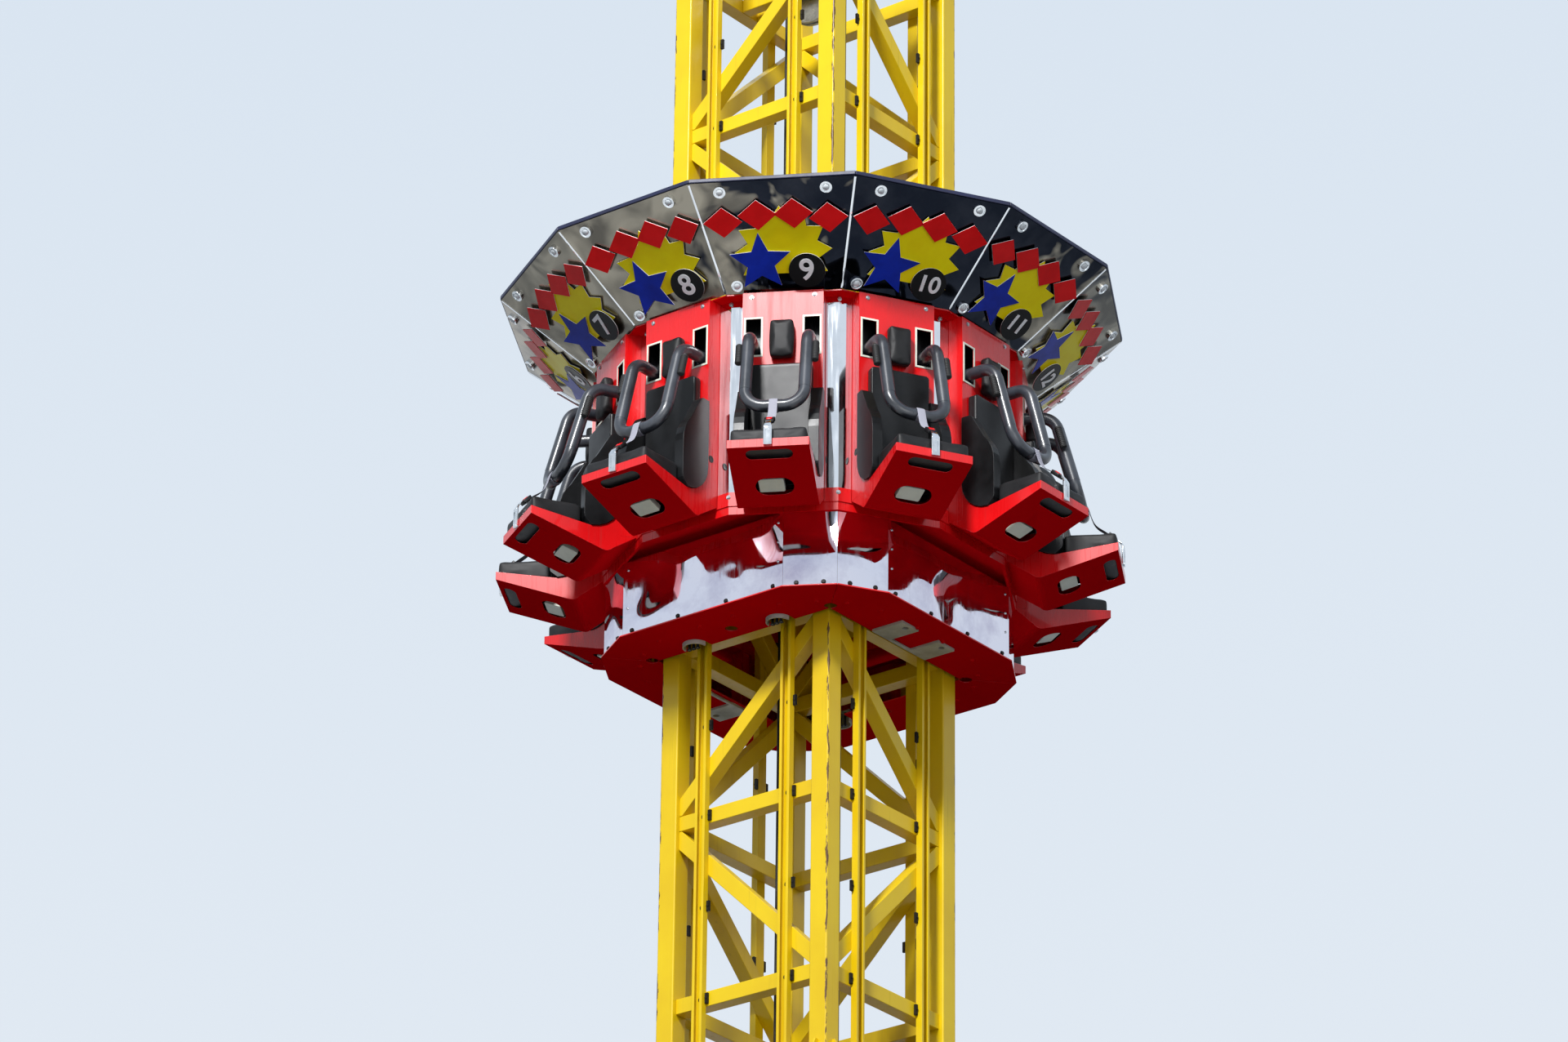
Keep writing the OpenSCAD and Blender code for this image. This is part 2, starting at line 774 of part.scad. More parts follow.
module headrests() {
    color("black")
        at_seats() translate([0, -housing_a, gondola_z - headrest_drop - headrest_h / 2]) rotate([90, 0, 0])
            linear_extrude(60) round_rect(headrest_w, headrest_h, 30);
}

module seat_backs() {
    color("black")
        at_seats() translate([-back_w / 2, -housing_a - back_t, cushion_low])
            cube([back_w, back_t, gondola_z - back_top_drop - cushion_low]);
}

function arc(c, r, from, to, steps) =
    [for (i = [0:steps]) c + r * [cos(from + (to - from) * i / steps), sin(from + (to - from) * i / steps)]];

// Side wing of the bucket: its foot is round and sits in the pan's notch, and it narrows towards its top
module seat_wings() {
    top = gondola_z - wing_top_drop;
    front = housing_a + wing_d;
    seat = [housing_a + notch_r, notch_z + notch_r];
    color("black")
        at_seats() both_sides()
            translate([back_w / 2, 0, 0]) rotate([90, 0, 90]) mirror([1, 0, 0]) linear_extrude(wing_t)
                polygon(concat(arc(seat, notch_r - fit_gap, 180, 270, 6),
                    arc([front - 35, notch_z + 50], 35, -60, 0, 3),
                    arc([housing_a, notch_z + 230], wing_d, 0, 45, 4),
                    arc([housing_a + 40, top - 30], 30, 30, 90, 3),
                    [[housing_a, top]]));
}

// Side outline of the seat pan: the distance from the tower's axis, and the height
pan_outline = concat(
    arc([housing_a + notch_r, notch_z + notch_r], notch_r, 180, 270, 6),
    [[pan_tip_r, pan_lip_z], [pan_tip_r, pan_tip_z]],
    arc([pan_low_a, pan_low_z + pan_corner_r], pan_corner_r, 290, 220, 4),
    [[wall_a + 10, wall_bottom]],
    [[housing_a, wall_bottom]]);
pan_slope_foot = [pan_low_a + pan_corner_r * cos(290), pan_low_z + pan_corner_r * (1 + sin(290))];
pan_slope = atan2(pan_tip_z - pan_slope_foot[1], pan_tip_r - pan_slope_foot[0]);

// Extrudes a side outline across the seat
module across(w) {
    translate([w / 2, 0, 0]) rotate([90, 0, -90]) linear_extrude(w) children();
}

// Sheet pan: two notched sides, a sloped bottom with a slot and a round-ended hole, and a front lip
module seat_pan() {
    difference() {
        across(housing_w) polygon(pan_outline);
        across(housing_w - 2 * pan_t) difference() {
            translate([0, pan_t / cos(pan_slope)]) union() {
                polygon(pan_outline);
                translate([housing_a, pan_tip_z]) square([pan_tip_r - housing_a, 400]);
            }
            translate([pan_tip_r - pan_t, pan_low_z]) square([pan_t + 1, 600]);
            translate([housing_a, pan_low_z]) square([pan_t, cushion_low - pan_low_z]);
        }
        on_pan(0.86) slot_hole(220, 62);
        on_pan(0.3) slot_hole(180, 110);
    }
}

// Places its children on the pan's sloped bottom, at a share of the way up it, with X across the seat
module on_pan(share) {
    p = pan_slope_foot + share * ([pan_tip_r, pan_tip_z] - pan_slope_foot);
    translate([0, -p[0], p[1]]) rotate([-pan_slope, 0, 0]) children();
}

module slot_hole(w, h) {
    translate([0, 0, -20]) linear_extrude(60) round_rect(w, h, h / 2 - 1);
}

module seat_pans() {
    color("red") at_seats() seat_pan();
}

// Cushion: narrow between the wings, wide in front of them, with a round nose over the lip
module seat_cushions() {
    back = housing_a + back_t;
    nose = (cushion_top - pan_lip_z) / 2;
    front = pan_tip_r + cushion_overhang;
    wide_from = housing_a + wing_d;
    low = cushion_low;
    color("black")
        at_seats() {
            across(back_w)
                translate([back, low]) square([wide_from - back, cushion_top - low]);
            across(housing_w - 2 * pan_t) {
                polygon([[wide_from, low], [pan_tip_r - 75, low], [pan_tip_r - pan_t - fit_gap, pan_lip_z],
                    [front - nose, pan_lip_z], [front - nose, cushion_top], [wide_from, cushion_top]]);
                translate([front - nose, pan_lip_z + nose]) circle(nose);
            }
        }
}

module control_boxes() {
    color("ivory")
        at_seats() on_pan(0.3) translate([-75, -45, pan_t]) cube([120, 85, 30]);
}

// Belt from the pan's lip over the cushion's nose to just under the closed harness: latch, buckle and strap
module belt_latches() {
    latch_w = 40;
    latch_front = pan_tip_r + cushion_overhang + 2;
    strap_t = 10;
    buckle = [50, 24, 48];
    foot = [latch_front + strap_t / 2, cushion_top - 8];
    buckle_up = 70;
    head = [loop_end_r + 18, loop_end_z - pad_d / 2 - latch_gap];
    lean = atan2(foot[0] - head[0], head[1] - foot[1]);
    strap_l = norm(foot - head);
    color("darkgray")
        at_seats() {
            translate([-latch_w / 2, -latch_front - 12, pan_tip_z + 3]) {
                cube([latch_w, latch_front + 12 - pan_tip_r, pan_lip_h - 6]);
                cube([latch_w, 12, foot[1] - pan_tip_z]);
            }
            translate([0, -foot[0], foot[1]]) rotate([-lean, 0, 0]) {
                translate([-22, -strap_t / 2, 0]) cube([44, strap_t, strap_l]);
                translate([-buckle[0] / 2, -buckle[1] / 2, buckle_up]) cube(buckle);
            }
        }
}

// Tube that starts upwards and follows steps of [straight length, bend angle, bend radius], bending towards +X.
// The bends are a seam's height thinner than the straights, and their ends run into them.
module bent_tube(d, steps, i = 0) {
    if (i < len(steps)) {
        l = steps[i][0];
        a = steps[i][1];
        r = steps[i][2];
        cylinder(d = d, h = l);
        translate([r, 0, l]) rotate([90, 0, 0]) rotate([0, 0, 180 - a - pad_lap])
            rotate_extrude(angle = a + 2 * pad_lap) translate([r, 0]) circle(d = d - 2 * pad_seam);
        translate([r * (1 - cos(a)), 0, l + r * sin(a)]) rotate([0, a, 0]) bent_tube(d, steps, i + 1);
    }
}

// One side of a harness: the arm and shoulder bend, then the tube beside the chest, its grip and the lower bend
module harness_side() {
    translate([arm_offset, -hinge_r, hinge_z]) rotate([90, 0, 0]) rotate([0, 0, -90])
        bent_tube(pad_d, [[arm_l, shoulder_a, shoulder_r]]);
    translate([arm_offset, -shoulder_end_r, shoulder_end_z]) rotate([90 + shoulder_a, 0, 0]) {
        rotate([0, 0, 180]) bent_tube(pad_d, [[chest_l, 90, loop_r]]);
        translate([(pad_d + grip_d) / 2 - 4, 0, 5]) cylinder(d = grip_d, h = grip_l);
    }
}

module harness(n) {
    color("dimgray")
        rotate([0, 0, seat_angle(n)]) {
            both_sides() harness_side();
            translate([0, -loop_end_r, loop_end_z]) rotate([0, 90, 0])
                cylinder(d = pad_d, h = 2 * (arm_offset - loop_r), center = true);
            translate([0, -hinge_r, hinge_z]) rotate([0, 90, 0])
                cylinder(d = hinge_d, h = housing_w - 2 * housing_t - 6, center = true);
        }
}

corner_columns();
foot_plates();
lattice_south();
lattice_east();
lattice_north();
lattice_west();
guide_rails();
base_beams();
rope_beams();
head_sheave();
hoist_rope();
frame_beams_x();
frame_beams_y();
frame_posts();
wheel_forks();
guide_wheels();
guide_shoes();
brake_units();
wall_panels();
corner_strips();
floor_plates();
skirt_panels();
bottom_plate();
deck_plates();
canopy_ribs();
canopy_panels();
canopy_rim();
canopy_lamps();
roof_panels();
seat_housings();
slot_frames();
headrests();
seat_backs();
seat_wings();
seat_pans();
seat_cushions();
control_boxes();
belt_latches();
harness(1);  // harness_1
harness(2);  // harness_2
harness(3);  // harness_3
harness(4);  // harness_4
harness(5);  // harness_5
harness(6);  // harness_6
harness(7);  // harness_7
harness(8);  // harness_8
harness(9);  // harness_9
harness(10);  // harness_10
harness(11);  // harness_11
harness(12);  // harness_12
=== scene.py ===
# %% [markdown]
# # A drop tower ride
# A ring of twelve seats hangs round a yellow lattice tower. The solid model gives every steel part its
# place. This lesson gives those parts their finishes, and adds what a solid model leaves out: cushions,
# signs, lamps, belts, bolts and wear. All lengths are in metres, and the tower's axis is the Z axis.

import math

import bmesh
import bpy
from mathutils import Matrix, Vector


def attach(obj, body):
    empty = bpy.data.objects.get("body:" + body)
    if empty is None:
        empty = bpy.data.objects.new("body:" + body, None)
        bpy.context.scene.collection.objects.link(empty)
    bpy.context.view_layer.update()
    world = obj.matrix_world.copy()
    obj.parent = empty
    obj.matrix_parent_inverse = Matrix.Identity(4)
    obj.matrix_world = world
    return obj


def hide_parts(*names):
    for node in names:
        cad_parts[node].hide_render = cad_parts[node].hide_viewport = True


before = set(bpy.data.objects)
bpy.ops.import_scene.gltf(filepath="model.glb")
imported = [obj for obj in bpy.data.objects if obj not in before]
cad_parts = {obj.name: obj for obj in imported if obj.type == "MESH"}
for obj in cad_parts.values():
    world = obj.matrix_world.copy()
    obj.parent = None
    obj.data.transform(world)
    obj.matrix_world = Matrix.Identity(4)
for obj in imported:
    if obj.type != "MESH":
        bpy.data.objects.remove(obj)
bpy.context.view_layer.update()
HALF_SEAT = math.radians(15)
FRONT_SEAT = 8

# %% [markdown]
# ## The camera
# The picture was taken from far below and far away with a long lens, looking up past the seats. The
# distance and the height come from how fast the tower narrows towards the top, and the turn comes from the
# two sides' widths.

# %% The camera
LENS = 151.95
DISTANCE, TURN, DOWN = 28.98, math.radians(-37.75), -10.545
PITCH, YAW, ROLL = math.radians(25.16), -0.0045, -0.0115


def from_camera_plan(v):
    """Turns a direction from the camera's own plan into the tower's plan."""
    c, s = math.cos(TURN), math.sin(TURN)
    return Vector((v[0] * c + v[1] * s, -v[0] * s + v[1] * c, v[2]))


forward = Vector((math.sin(YAW) * math.cos(PITCH), math.cos(YAW) * math.cos(PITCH), math.sin(PITCH)))
sideways = Vector((math.cos(YAW), -math.sin(YAW), 0))
upright = sideways.cross(forward)
right = from_camera_plan(sideways * math.cos(ROLL) - upright * math.sin(ROLL))
up = from_camera_plan(sideways * math.sin(ROLL) + upright * math.cos(ROLL))
back = -from_camera_plan(forward)
bpy.ops.object.camera_add()
camera = bpy.context.object
camera.matrix_world = Matrix(((right.x, up.x, back.x, -DISTANCE * math.sin(TURN)),
                              (right.y, up.y, back.y, -DISTANCE * math.cos(TURN)),
                              (right.z, up.z, back.z, DOWN), (0, 0, 0, 1)))
camera.data.sensor_width = 36
camera.data.lens = LENS
camera.data.clip_end = 500
bpy.context.scene.camera = camera
print("camera at", [round(x, 2) for x in camera.location])

# %% [markdown]
# ## Materials
# A finish is a small graph of nodes. One function adds a node, sets what it has and links what feeds it, so
# that each material below reads as a list of its layers. Colours are written as on a paint card and turned
# to linear. A Mix node takes its two colours at its inputs 6 and 7 and gives the mixed colour at its output
# 2. A Map Range node takes a range of values, inputs 1 and 2, to another range, inputs 3 and 4.


# %% How a finish is written
def paint(code):
    """Linear colour from a paint card's hex code."""
    part = [int(code[i:i + 2], 16) / 255 for i in (1, 3, 5)]
    return [c / 12.92 if c <= 0.04045 else ((c + 0.055) / 1.055) ** 2.4 for c in part] + [1]


def add(finish, kind, links=None, **settings):
    """Adds a node to a finish. links gives each input a value, or the output that feeds it."""
    made = finish.node_tree.nodes.new(kind)
    for name, value in settings.items():
        setattr(made, name, value)
    for name, value in (links or {}).items():
        if isinstance(value, bpy.types.NodeSocket):
            finish.node_tree.links.new(value, made.inputs[name])
        else:
            made.inputs[name].default_value = value
    return made


def new_finish(name, **surface):
    """A material with one surface shader, whose plain values are given by name."""
    made = bpy.data.materials.new(name)
    made.use_nodes = True
    shader = made.node_tree.nodes["Principled BSDF"]
    for key, value in surface.items():
        shader.inputs[key.replace("_", " ")].default_value = value
    return made, shader, add(made, "ShaderNodeTexCoord").outputs["Object"]


def feed(finish, output, shader, name):
    """Links an output to a named input of the surface shader."""
    finish.node_tree.links.new(output, shader.inputs[name])


# %% [markdown]
# ### Yellow enamel on the tower
# Brushed enamel on galvanised steel: it fades in patches, rain leaves upright streaks, and the wheels and
# the weather have worn it through to brown and black along the columns' outer corners. The worn line is
# found from how far a point is from the nearest outer corner, so it follows the columns wherever they run.

# %% Yellow enamel
yellow, shader, place = new_finish("brushed_yellow_enamel", IOR=1.5, Specular_IOR_Level=0.35,
                                   Coat_Weight=0.15, Coat_Roughness=0.12)
patch = add(yellow, "ShaderNodeTexNoise",
            {"Vector": place, "Scale": 1.7, "Detail": 4.0, "Roughness": 0.6}).outputs[0]
stretched = add(yellow, "ShaderNodeMapping", {"Vector": place, "Scale": (38, 38, 1.4)}).outputs[0]
streak = add(yellow, "ShaderNodeTexNoise",
             {"Vector": stretched, "Scale": 1.0, "Detail": 5.0, "Roughness": 0.65}).outputs[0]
fade = add(yellow, "ShaderNodeMapRange", {0: patch, 1: 0.35, 2: 0.7}).outputs[0]
base = add(yellow, "ShaderNodeMix", {0: fade, 6: paint("#DDBE05"), 7: paint("#D2AE04")},
           data_type="RGBA").outputs[2]
dirt = add(yellow, "ShaderNodeMapRange", {0: streak, 1: 0.6, 2: 0.78, 4: 0.55}).outputs[0]
dirty = add(yellow, "ShaderNodeMix", {0: dirt, 6: base, 7: paint("#A48713")}, data_type="RGBA").outputs[2]
axes = add(yellow, "ShaderNodeSeparateXYZ", {0: place}).outputs
from_x = add(yellow, "ShaderNodeMath", {0: axes[0]}, operation="ABSOLUTE").outputs[0]
from_y = add(yellow, "ShaderNodeMath", {0: axes[1]}, operation="ABSOLUTE").outputs[0]
nearer = add(yellow, "ShaderNodeMath", {0: from_x, 1: from_y}, operation="MINIMUM").outputs[0]
long_flakes = add(yellow, "ShaderNodeMapping", {"Vector": place, "Scale": (60, 60, 9)}).outputs[0]
flakes = add(yellow, "ShaderNodeTexNoise",
             {"Vector": long_flakes, "Scale": 1.0, "Detail": 6.0, "Roughness": 0.7}).outputs[0]
reach = add(yellow, "ShaderNodeMapRange", {0: flakes, 1: 0.4, 2: 0.75, 3: 0.503, 4: 0.478}).outputs[0]
worn = add(yellow, "ShaderNodeMath", {0: nearer, 1: reach}, operation="GREATER_THAN").outputs[0]
rust = add(yellow, "ShaderNodeMix", {0: flakes, 6: paint("#2B1D12"), 7: paint("#6E4A1F")},
           data_type="RGBA").outputs[2]
feed(yellow, add(yellow, "ShaderNodeMix", {0: worn, 6: dirty, 7: rust}, data_type="RGBA").outputs[2], shader,
     "Base Color")
feed(yellow, add(yellow, "ShaderNodeMapRange", {0: streak, 1: 0.3, 2: 0.8, 3: 0.3, 4: 0.52}).outputs[0],
     shader, "Roughness")
brush_way = add(yellow, "ShaderNodeMapping", {"Vector": place, "Scale": (260, 260, 30)}).outputs[0]
brushed = add(yellow, "ShaderNodeTexNoise", {"Vector": brush_way, "Scale": 1.0, "Detail": 2.0}).outputs[0]
height = add(yellow, "ShaderNodeMath", {0: brushed, 1: worn}, operation="SUBTRACT").outputs[0]
feed(yellow, add(yellow, "ShaderNodeBump",
                 {"Height": height, "Strength": 0.25, "Distance": 0.0006}).outputs[0], shader, "Normal")
print("yellow enamel:", len(yellow.node_tree.nodes), "nodes")

# %% [markdown]
# ### Red two-pack paint on the gondola
# Sprayed car paint over sheet steel: deep, glossy, with a fine orange peel. Dust settles in soft patches and
# water runs leave thin dull lines. The insides of the seat housings are painted near-black as painted shade,
# so their slots look dark. That is told by place: the angle round the tower is folded to one seat, which
# gives the distance across the seat and out from the tower. What faces down gets a deeper red as painted
# shade, with no coat and no gloss. That is tuned to the picture, where the undersides show no pale sky. It is
# a likeness, and not how the same paint would differ by itself.

# %% Red paint
red, shader, place = new_finish("red_two_pack_paint", IOR=1.5, Coat_Roughness=0.06)
patch = add(red, "ShaderNodeTexNoise",
            {"Vector": place, "Scale": 3.0, "Detail": 5.0, "Roughness": 0.6}).outputs[0]
run_way = add(red, "ShaderNodeMapping", {"Vector": place, "Scale": (45, 45, 2.2)}).outputs[0]
runs = add(red, "ShaderNodeTexNoise",
           {"Vector": run_way, "Scale": 1.0, "Detail": 4.0, "Roughness": 0.6}).outputs[0]
fade = add(red, "ShaderNodeMapRange", {0: patch, 1: 0.35, 2: 0.72}).outputs[0]
base = add(red, "ShaderNodeMix", {0: fade, 6: paint("#DC1014"), 7: paint("#C40A10")},
           data_type="RGBA").outputs[2]
dust = add(red, "ShaderNodeMapRange", {0: runs, 1: 0.58, 2: 0.8, 4: 0.3}).outputs[0]
dusty = add(red, "ShaderNodeMix", {0: dust, 6: base, 7: paint("#8E2A26")}, data_type="RGBA").outputs[2]
axes = add(red, "ShaderNodeSeparateXYZ", {0: place}).outputs
plan = add(red, "ShaderNodeCombineXYZ", {0: axes[0], 1: axes[1]}).outputs[0]
radius = add(red, "ShaderNodeVectorMath", {0: plan}, operation="LENGTH").outputs["Value"]
around = add(red, "ShaderNodeMath", {0: axes[1], 1: axes[0]}, operation="ARCTAN2").outputs[0]
folded = add(red, "ShaderNodeMath", {0: around, 1: HALF_SEAT}, operation="PINGPONG").outputs[0]
across = add(red, "ShaderNodeMath",
             {0: radius, 1: add(red, "ShaderNodeMath", {0: folded}, operation="SINE").outputs[0]},
             operation="MULTIPLY").outputs[0]
out = add(red, "ShaderNodeMath",
          {0: radius, 1: add(red, "ShaderNodeMath", {0: folded}, operation="COSINE").outputs[0]},
          operation="MULTIPLY").outputs[0]
# The box inside each seat housing is found by place, and its colour is near-black as painted shade.
HOUSING_HALF, HOUSING_FRONT, HOUSING_BACK, HOUSING_TOP, HOUSING_FLOOR = 0.1905, 1.0485, 0.960, 3.779, 2.716
WALLS = [(across, HOUSING_HALF, "LESS_THAN"), (out, HOUSING_FRONT, "LESS_THAN"),
         (out, HOUSING_BACK, "GREATER_THAN"),
         (axes[2], HOUSING_TOP, "LESS_THAN"), (axes[2], HOUSING_FLOOR, "GREATER_THAN")]
inside = 1.0
for distance, edge, side in WALLS:
    within = add(red, "ShaderNodeMath", {0: distance, 1: edge}, operation=side).outputs[0]
    inside = add(red, "ShaderNodeMath", {0: within, 1: inside}, operation="MULTIPLY").outputs[0]
# Faces that look down are painted a deeper red as painted shade, and lose their coat and gloss.
tilt = add(red, "ShaderNodeSeparateXYZ", {0: add(red, "ShaderNodeNewGeometry").outputs["Normal"]}).outputs[2]
below = add(red, "ShaderNodeMapRange", {0: tilt, 1: -0.3, 2: -0.6}).outputs[0]
underside_shade_red = add(red, "ShaderNodeMix", {0: below, 6: dusty, 7: paint("#CE050F")}, data_type="RGBA").outputs[2]
feed(red, add(red, "ShaderNodeMix", {0: inside, 6: underside_shade_red, 7: paint("#0B0B0C")}, data_type="RGBA").outputs[2],
     shader, "Base Color")
feed(red, add(red, "ShaderNodeMapRange", {0: below, 3: 0.45, 4: 0.0}).outputs[0], shader, "Coat Weight")
feed(red, add(red, "ShaderNodeMapRange", {0: below, 3: 0.36, 4: 0.0}).outputs[0], shader,
     "Specular IOR Level")
feed(red, add(red, "ShaderNodeMapRange", {0: runs, 1: 0.3, 2: 0.8, 3: 0.22, 4: 0.42}).outputs[0], shader,
     "Roughness")
peel = add(red, "ShaderNodeTexNoise", {"Vector": place, "Scale": 260.0, "Detail": 1.0}).outputs[0]
feed(red, add(red, "ShaderNodeBump", {"Height": peel, "Strength": 0.08, "Distance": 0.0004}).outputs[0],
     shader, "Normal")
print("red paint:", len(red.node_tree.nodes), "nodes")


# %% [markdown]
# ### Mirror-polished stainless sheet
# The canopy, the wall strips and the skirt are thin stainless sheet, polished like a mirror. Sheet this
# thin is never flat: it bellies between its bolts, so what it reflects bends in long smooth curves. One
# slow bump makes that, and a greasy film with rain marks breaks the gloss a little. The slope of the belly
# is what the eye sees, so it is set for each sheet by the bump's depth and its count of waves per metre.


# %% Mirror sheet
def mirror_sheet(name, clean, filmed, belly, waves):
    """Polished sheet with a film in patches. Gives material, shader, place and colour."""
    made, shader, place = new_finish(name, Metallic=1.0)
    film = add(made, "ShaderNodeTexNoise",
               {"Vector": place, "Scale": 4.0, "Detail": 6.0, "Roughness": 0.62}).outputs[0]
    amount = add(made, "ShaderNodeMapRange", {0: film, 1: 0.42, 2: 0.72}).outputs[0]
    tint = add(made, "ShaderNodeMix", {0: amount, 6: paint(clean), 7: paint(filmed)},
               data_type="RGBA").outputs[2]
    feed(made, tint, shader, "Base Color")
    rain_way = add(made, "ShaderNodeMapping", {"Vector": place, "Scale": (70, 70, 5)}).outputs[0]
    rain = add(made, "ShaderNodeTexNoise", {"Vector": rain_way, "Scale": 1.0, "Detail": 3.0}).outputs[0]
    feed(made, add(made, "ShaderNodeMapRange", {0: rain, 1: 0.4, 2: 0.85, 3: 0.02, 4: 0.14}).outputs[0],
         shader, "Roughness")
    slow = add(made, "ShaderNodeTexNoise",
               {"Vector": place, "Scale": waves, "Detail": 0.0, "Distortion": 0.4}).outputs[0]
    feed(made, add(made, "ShaderNodeBump", {"Height": slow, "Strength": 1.0, "Distance": belly}).outputs[0],
         shader, "Normal")
    return made, shader, place, tint


wall_mirror = mirror_sheet("bright_mirror_sheet", "#EDEFF2", "#D9DCE0", 0.004, 2.5)[0]
skirt_mirror = mirror_sheet("skirt_mirror_sheet", "#E6E4EE", "#BDB8CC", 0.048, 2.6)[0]
print("mirror sheets:", wall_mirror.name, skirt_mirror.name)

# %% [markdown]
# ### The canopy's two sides
# The canopy is the same sheet, with its reflections painted into its colour. In the picture one side of it
# mirrors something dark and the other side something pale and torn. What it mirrors there isn't part of the
# ride, so the two reflections are painted: a dark sheet colour on one side as a painted dark reflection, and
# on the other a painted pale beige reflection in torn patches, with painted highlights on its folds. Which
# side a point is on comes from its direction round the tower. This is a likeness from the picture's side, and
# not a property of the sheet.

# %% Canopy sheet
# The dark colours of this sheet are a painted dark reflection.
canopy_mirror, shader, place, tint = mirror_sheet("mirror_sheet_painted_reflections", "#1A1E27", "#2B2E36", 0.012, 3.0)
flat = add(canopy_mirror, "ShaderNodeVectorMath", {0: place, 1: (1, 1, 0)}, operation="MULTIPLY").outputs[0]
heading = add(canopy_mirror, "ShaderNodeVectorMath", {0: flat}, operation="NORMALIZE").outputs[0]
# This direction points to the side that keeps the painted dark reflection.
DARK_REFLECTION_SIDE = math.radians(62)
dark_reflection_way = (math.sin(DARK_REFLECTION_SIDE), -math.cos(DARK_REFLECTION_SIDE), 0)
facing = add(canopy_mirror, "ShaderNodeVectorMath", {0: heading, 1: dark_reflection_way},
             operation="DOT_PRODUCT").outputs["Value"]
# Torn noise, shifted by the direction round the tower, masks where the painted pale reflection lies.
torn = add(canopy_mirror, "ShaderNodeTexNoise",
           {"Vector": place, "Scale": 3.4, "Detail": 2.0, "Distortion": 1.6}).outputs[0]
shifted = add(canopy_mirror, "ShaderNodeMath", {0: torn, 1: 0.9, 2: facing},
              operation="MULTIPLY_ADD").outputs[0]
pale_reflection_mask = add(canopy_mirror, "ShaderNodeMapRange", {0: shifted, 1: 1.26, 2: 1.14}).outputs[0]
# The painted pale reflection, lighter where painted highlights run along its folds.
grain = add(canopy_mirror, "ShaderNodeTexNoise",
            {"Vector": place, "Scale": 3.6, "Detail": 2.0, "Distortion": 1.2}).outputs[0]
fold_light = add(canopy_mirror, "ShaderNodeMapRange", {0: grain, 1: 0.36, 2: 0.62}).outputs[0]
painted_pale_reflection = add(canopy_mirror, "ShaderNodeMix", {0: fold_light, 6: paint("#5C5851"), 7: paint("#968F81")},
                data_type="RGBA").outputs[2]
feed(canopy_mirror,
     add(canopy_mirror, "ShaderNodeMix", {0: pale_reflection_mask, 6: tint, 7: painted_pale_reflection}, data_type="RGBA").outputs[2],
     shader, "Base Color")
feed(canopy_mirror, add(canopy_mirror, "ShaderNodeMapRange", {0: pale_reflection_mask, 3: 0.04, 4: 0.22}).outputs[0], shader,
     "Roughness")
print("canopy sheet:", len(canopy_mirror.node_tree.nodes), "nodes")

# %% [markdown]
# ### The small finishes
# Moulded black polyurethane is slightly pebbled, and it is kept duller than it often is, because it glared.
# The harness skin is greyer in patches, brackets are grey primer, boxes are off-white ABS, the rim bar is
# dark blue paint, and the roof sheet, which the picture hides, is plain weathered stainless.


# %% Small finishes
def plain_finish(name, colour, second, rough, grain, depth, patch_size=6.0, **surface):
    """A finish of two near colours in patches, with a grain of a given count per metre and depth."""
    made, shader, place = new_finish(name, **surface)
    patch = add(made, "ShaderNodeTexNoise",
                {"Vector": place, "Scale": patch_size, "Detail": 5.0, "Roughness": 0.6}).outputs[0]
    amount = add(made, "ShaderNodeMapRange", {0: patch, 1: 0.38, 2: 0.68}).outputs[0]
    feed(made, add(made, "ShaderNodeMix", {0: amount, 6: paint(colour), 7: paint(second)},
                   data_type="RGBA").outputs[2],
         shader, "Base Color")
    feed(made, add(made, "ShaderNodeMapRange",
                   {0: patch, 1: 0.3, 2: 0.75, 3: rough[0], 4: rough[1]}).outputs[0], shader, "Roughness")
    fine = add(made, "ShaderNodeTexVoronoi", {"Vector": place, "Scale": grain}).outputs[0]
    feed(made, add(made, "ShaderNodeBump", {"Height": fine, "Strength": 0.3, "Distance": depth}).outputs[0],
         shader, "Normal")
    return made


shell = plain_finish("moulded_black_polyurethane", "#0B0B0C", "#17181A", (0.3, 0.46), 700, 0.0003, IOR=1.5,
                     Specular_IOR_Level=0.3)
vinyl = plain_finish("padded_black_vinyl", "#101011", "#1D1D1F", (0.46, 0.62), 420, 0.0006, IOR=1.5,
                     Specular_IOR_Level=0.28)
skin = plain_finish("harness_rubber_skin", "#26292F", "#3B3F47", (0.26, 0.42), 500, 0.0004, IOR=1.52,
                    Coat_Weight=0.2)
primer = plain_finish("grey_primer_on_castings", "#B9B9AE", "#8F8E82", (0.45, 0.65), 300, 0.0006)
abs_white = plain_finish("off_white_abs", "#DDE0D2", "#C6C9BA", (0.35, 0.5), 350, 0.0003, IOR=1.53)
rim_blue = plain_finish("dark_blue_enamel", "#141B3F", "#0D1230", (0.4, 0.55), 240, 0.0003)
rubber = plain_finish("wheel_rubber", "#151515", "#232323", (0.6, 0.8), 600, 0.0006)
zinc = plain_finish("zinc_plated_steel", "#B4B7BA", "#8E9194", (0.25, 0.45), 500, 0.0003, 40.0, Metallic=1.0)
roof_sheet = plain_finish("weathered_stainless_sheet", "#A6A9AB", "#83868A", (0.28, 0.46), 300, 0.0002, 4.0,
                          Metallic=1.0)
black_iron = plain_finish("blackened_steel", "#18181A", "#26231F", (0.4, 0.6), 400, 0.0004, 30.0,
                          Metallic=0.6)
chrome = plain_finish("polished_chrome", "#E8EAEC", "#CFD3D6", (0.05, 0.14), 300, 0.0001, 20.0, Metallic=1.0)
wire = plain_finish("greased_wire_rope", "#121212", "#2A2825", (0.35, 0.55), 260, 0.002, Metallic=0.7)
print("small finishes ready")

# %% [markdown]
# ## Dress the solid parts
# The steel parts keep their exact shapes. Each gets its finish, and a small bevel, because no real edge is
# sharp: a folded sheet or a square tube shows a thin bright line along its corners.

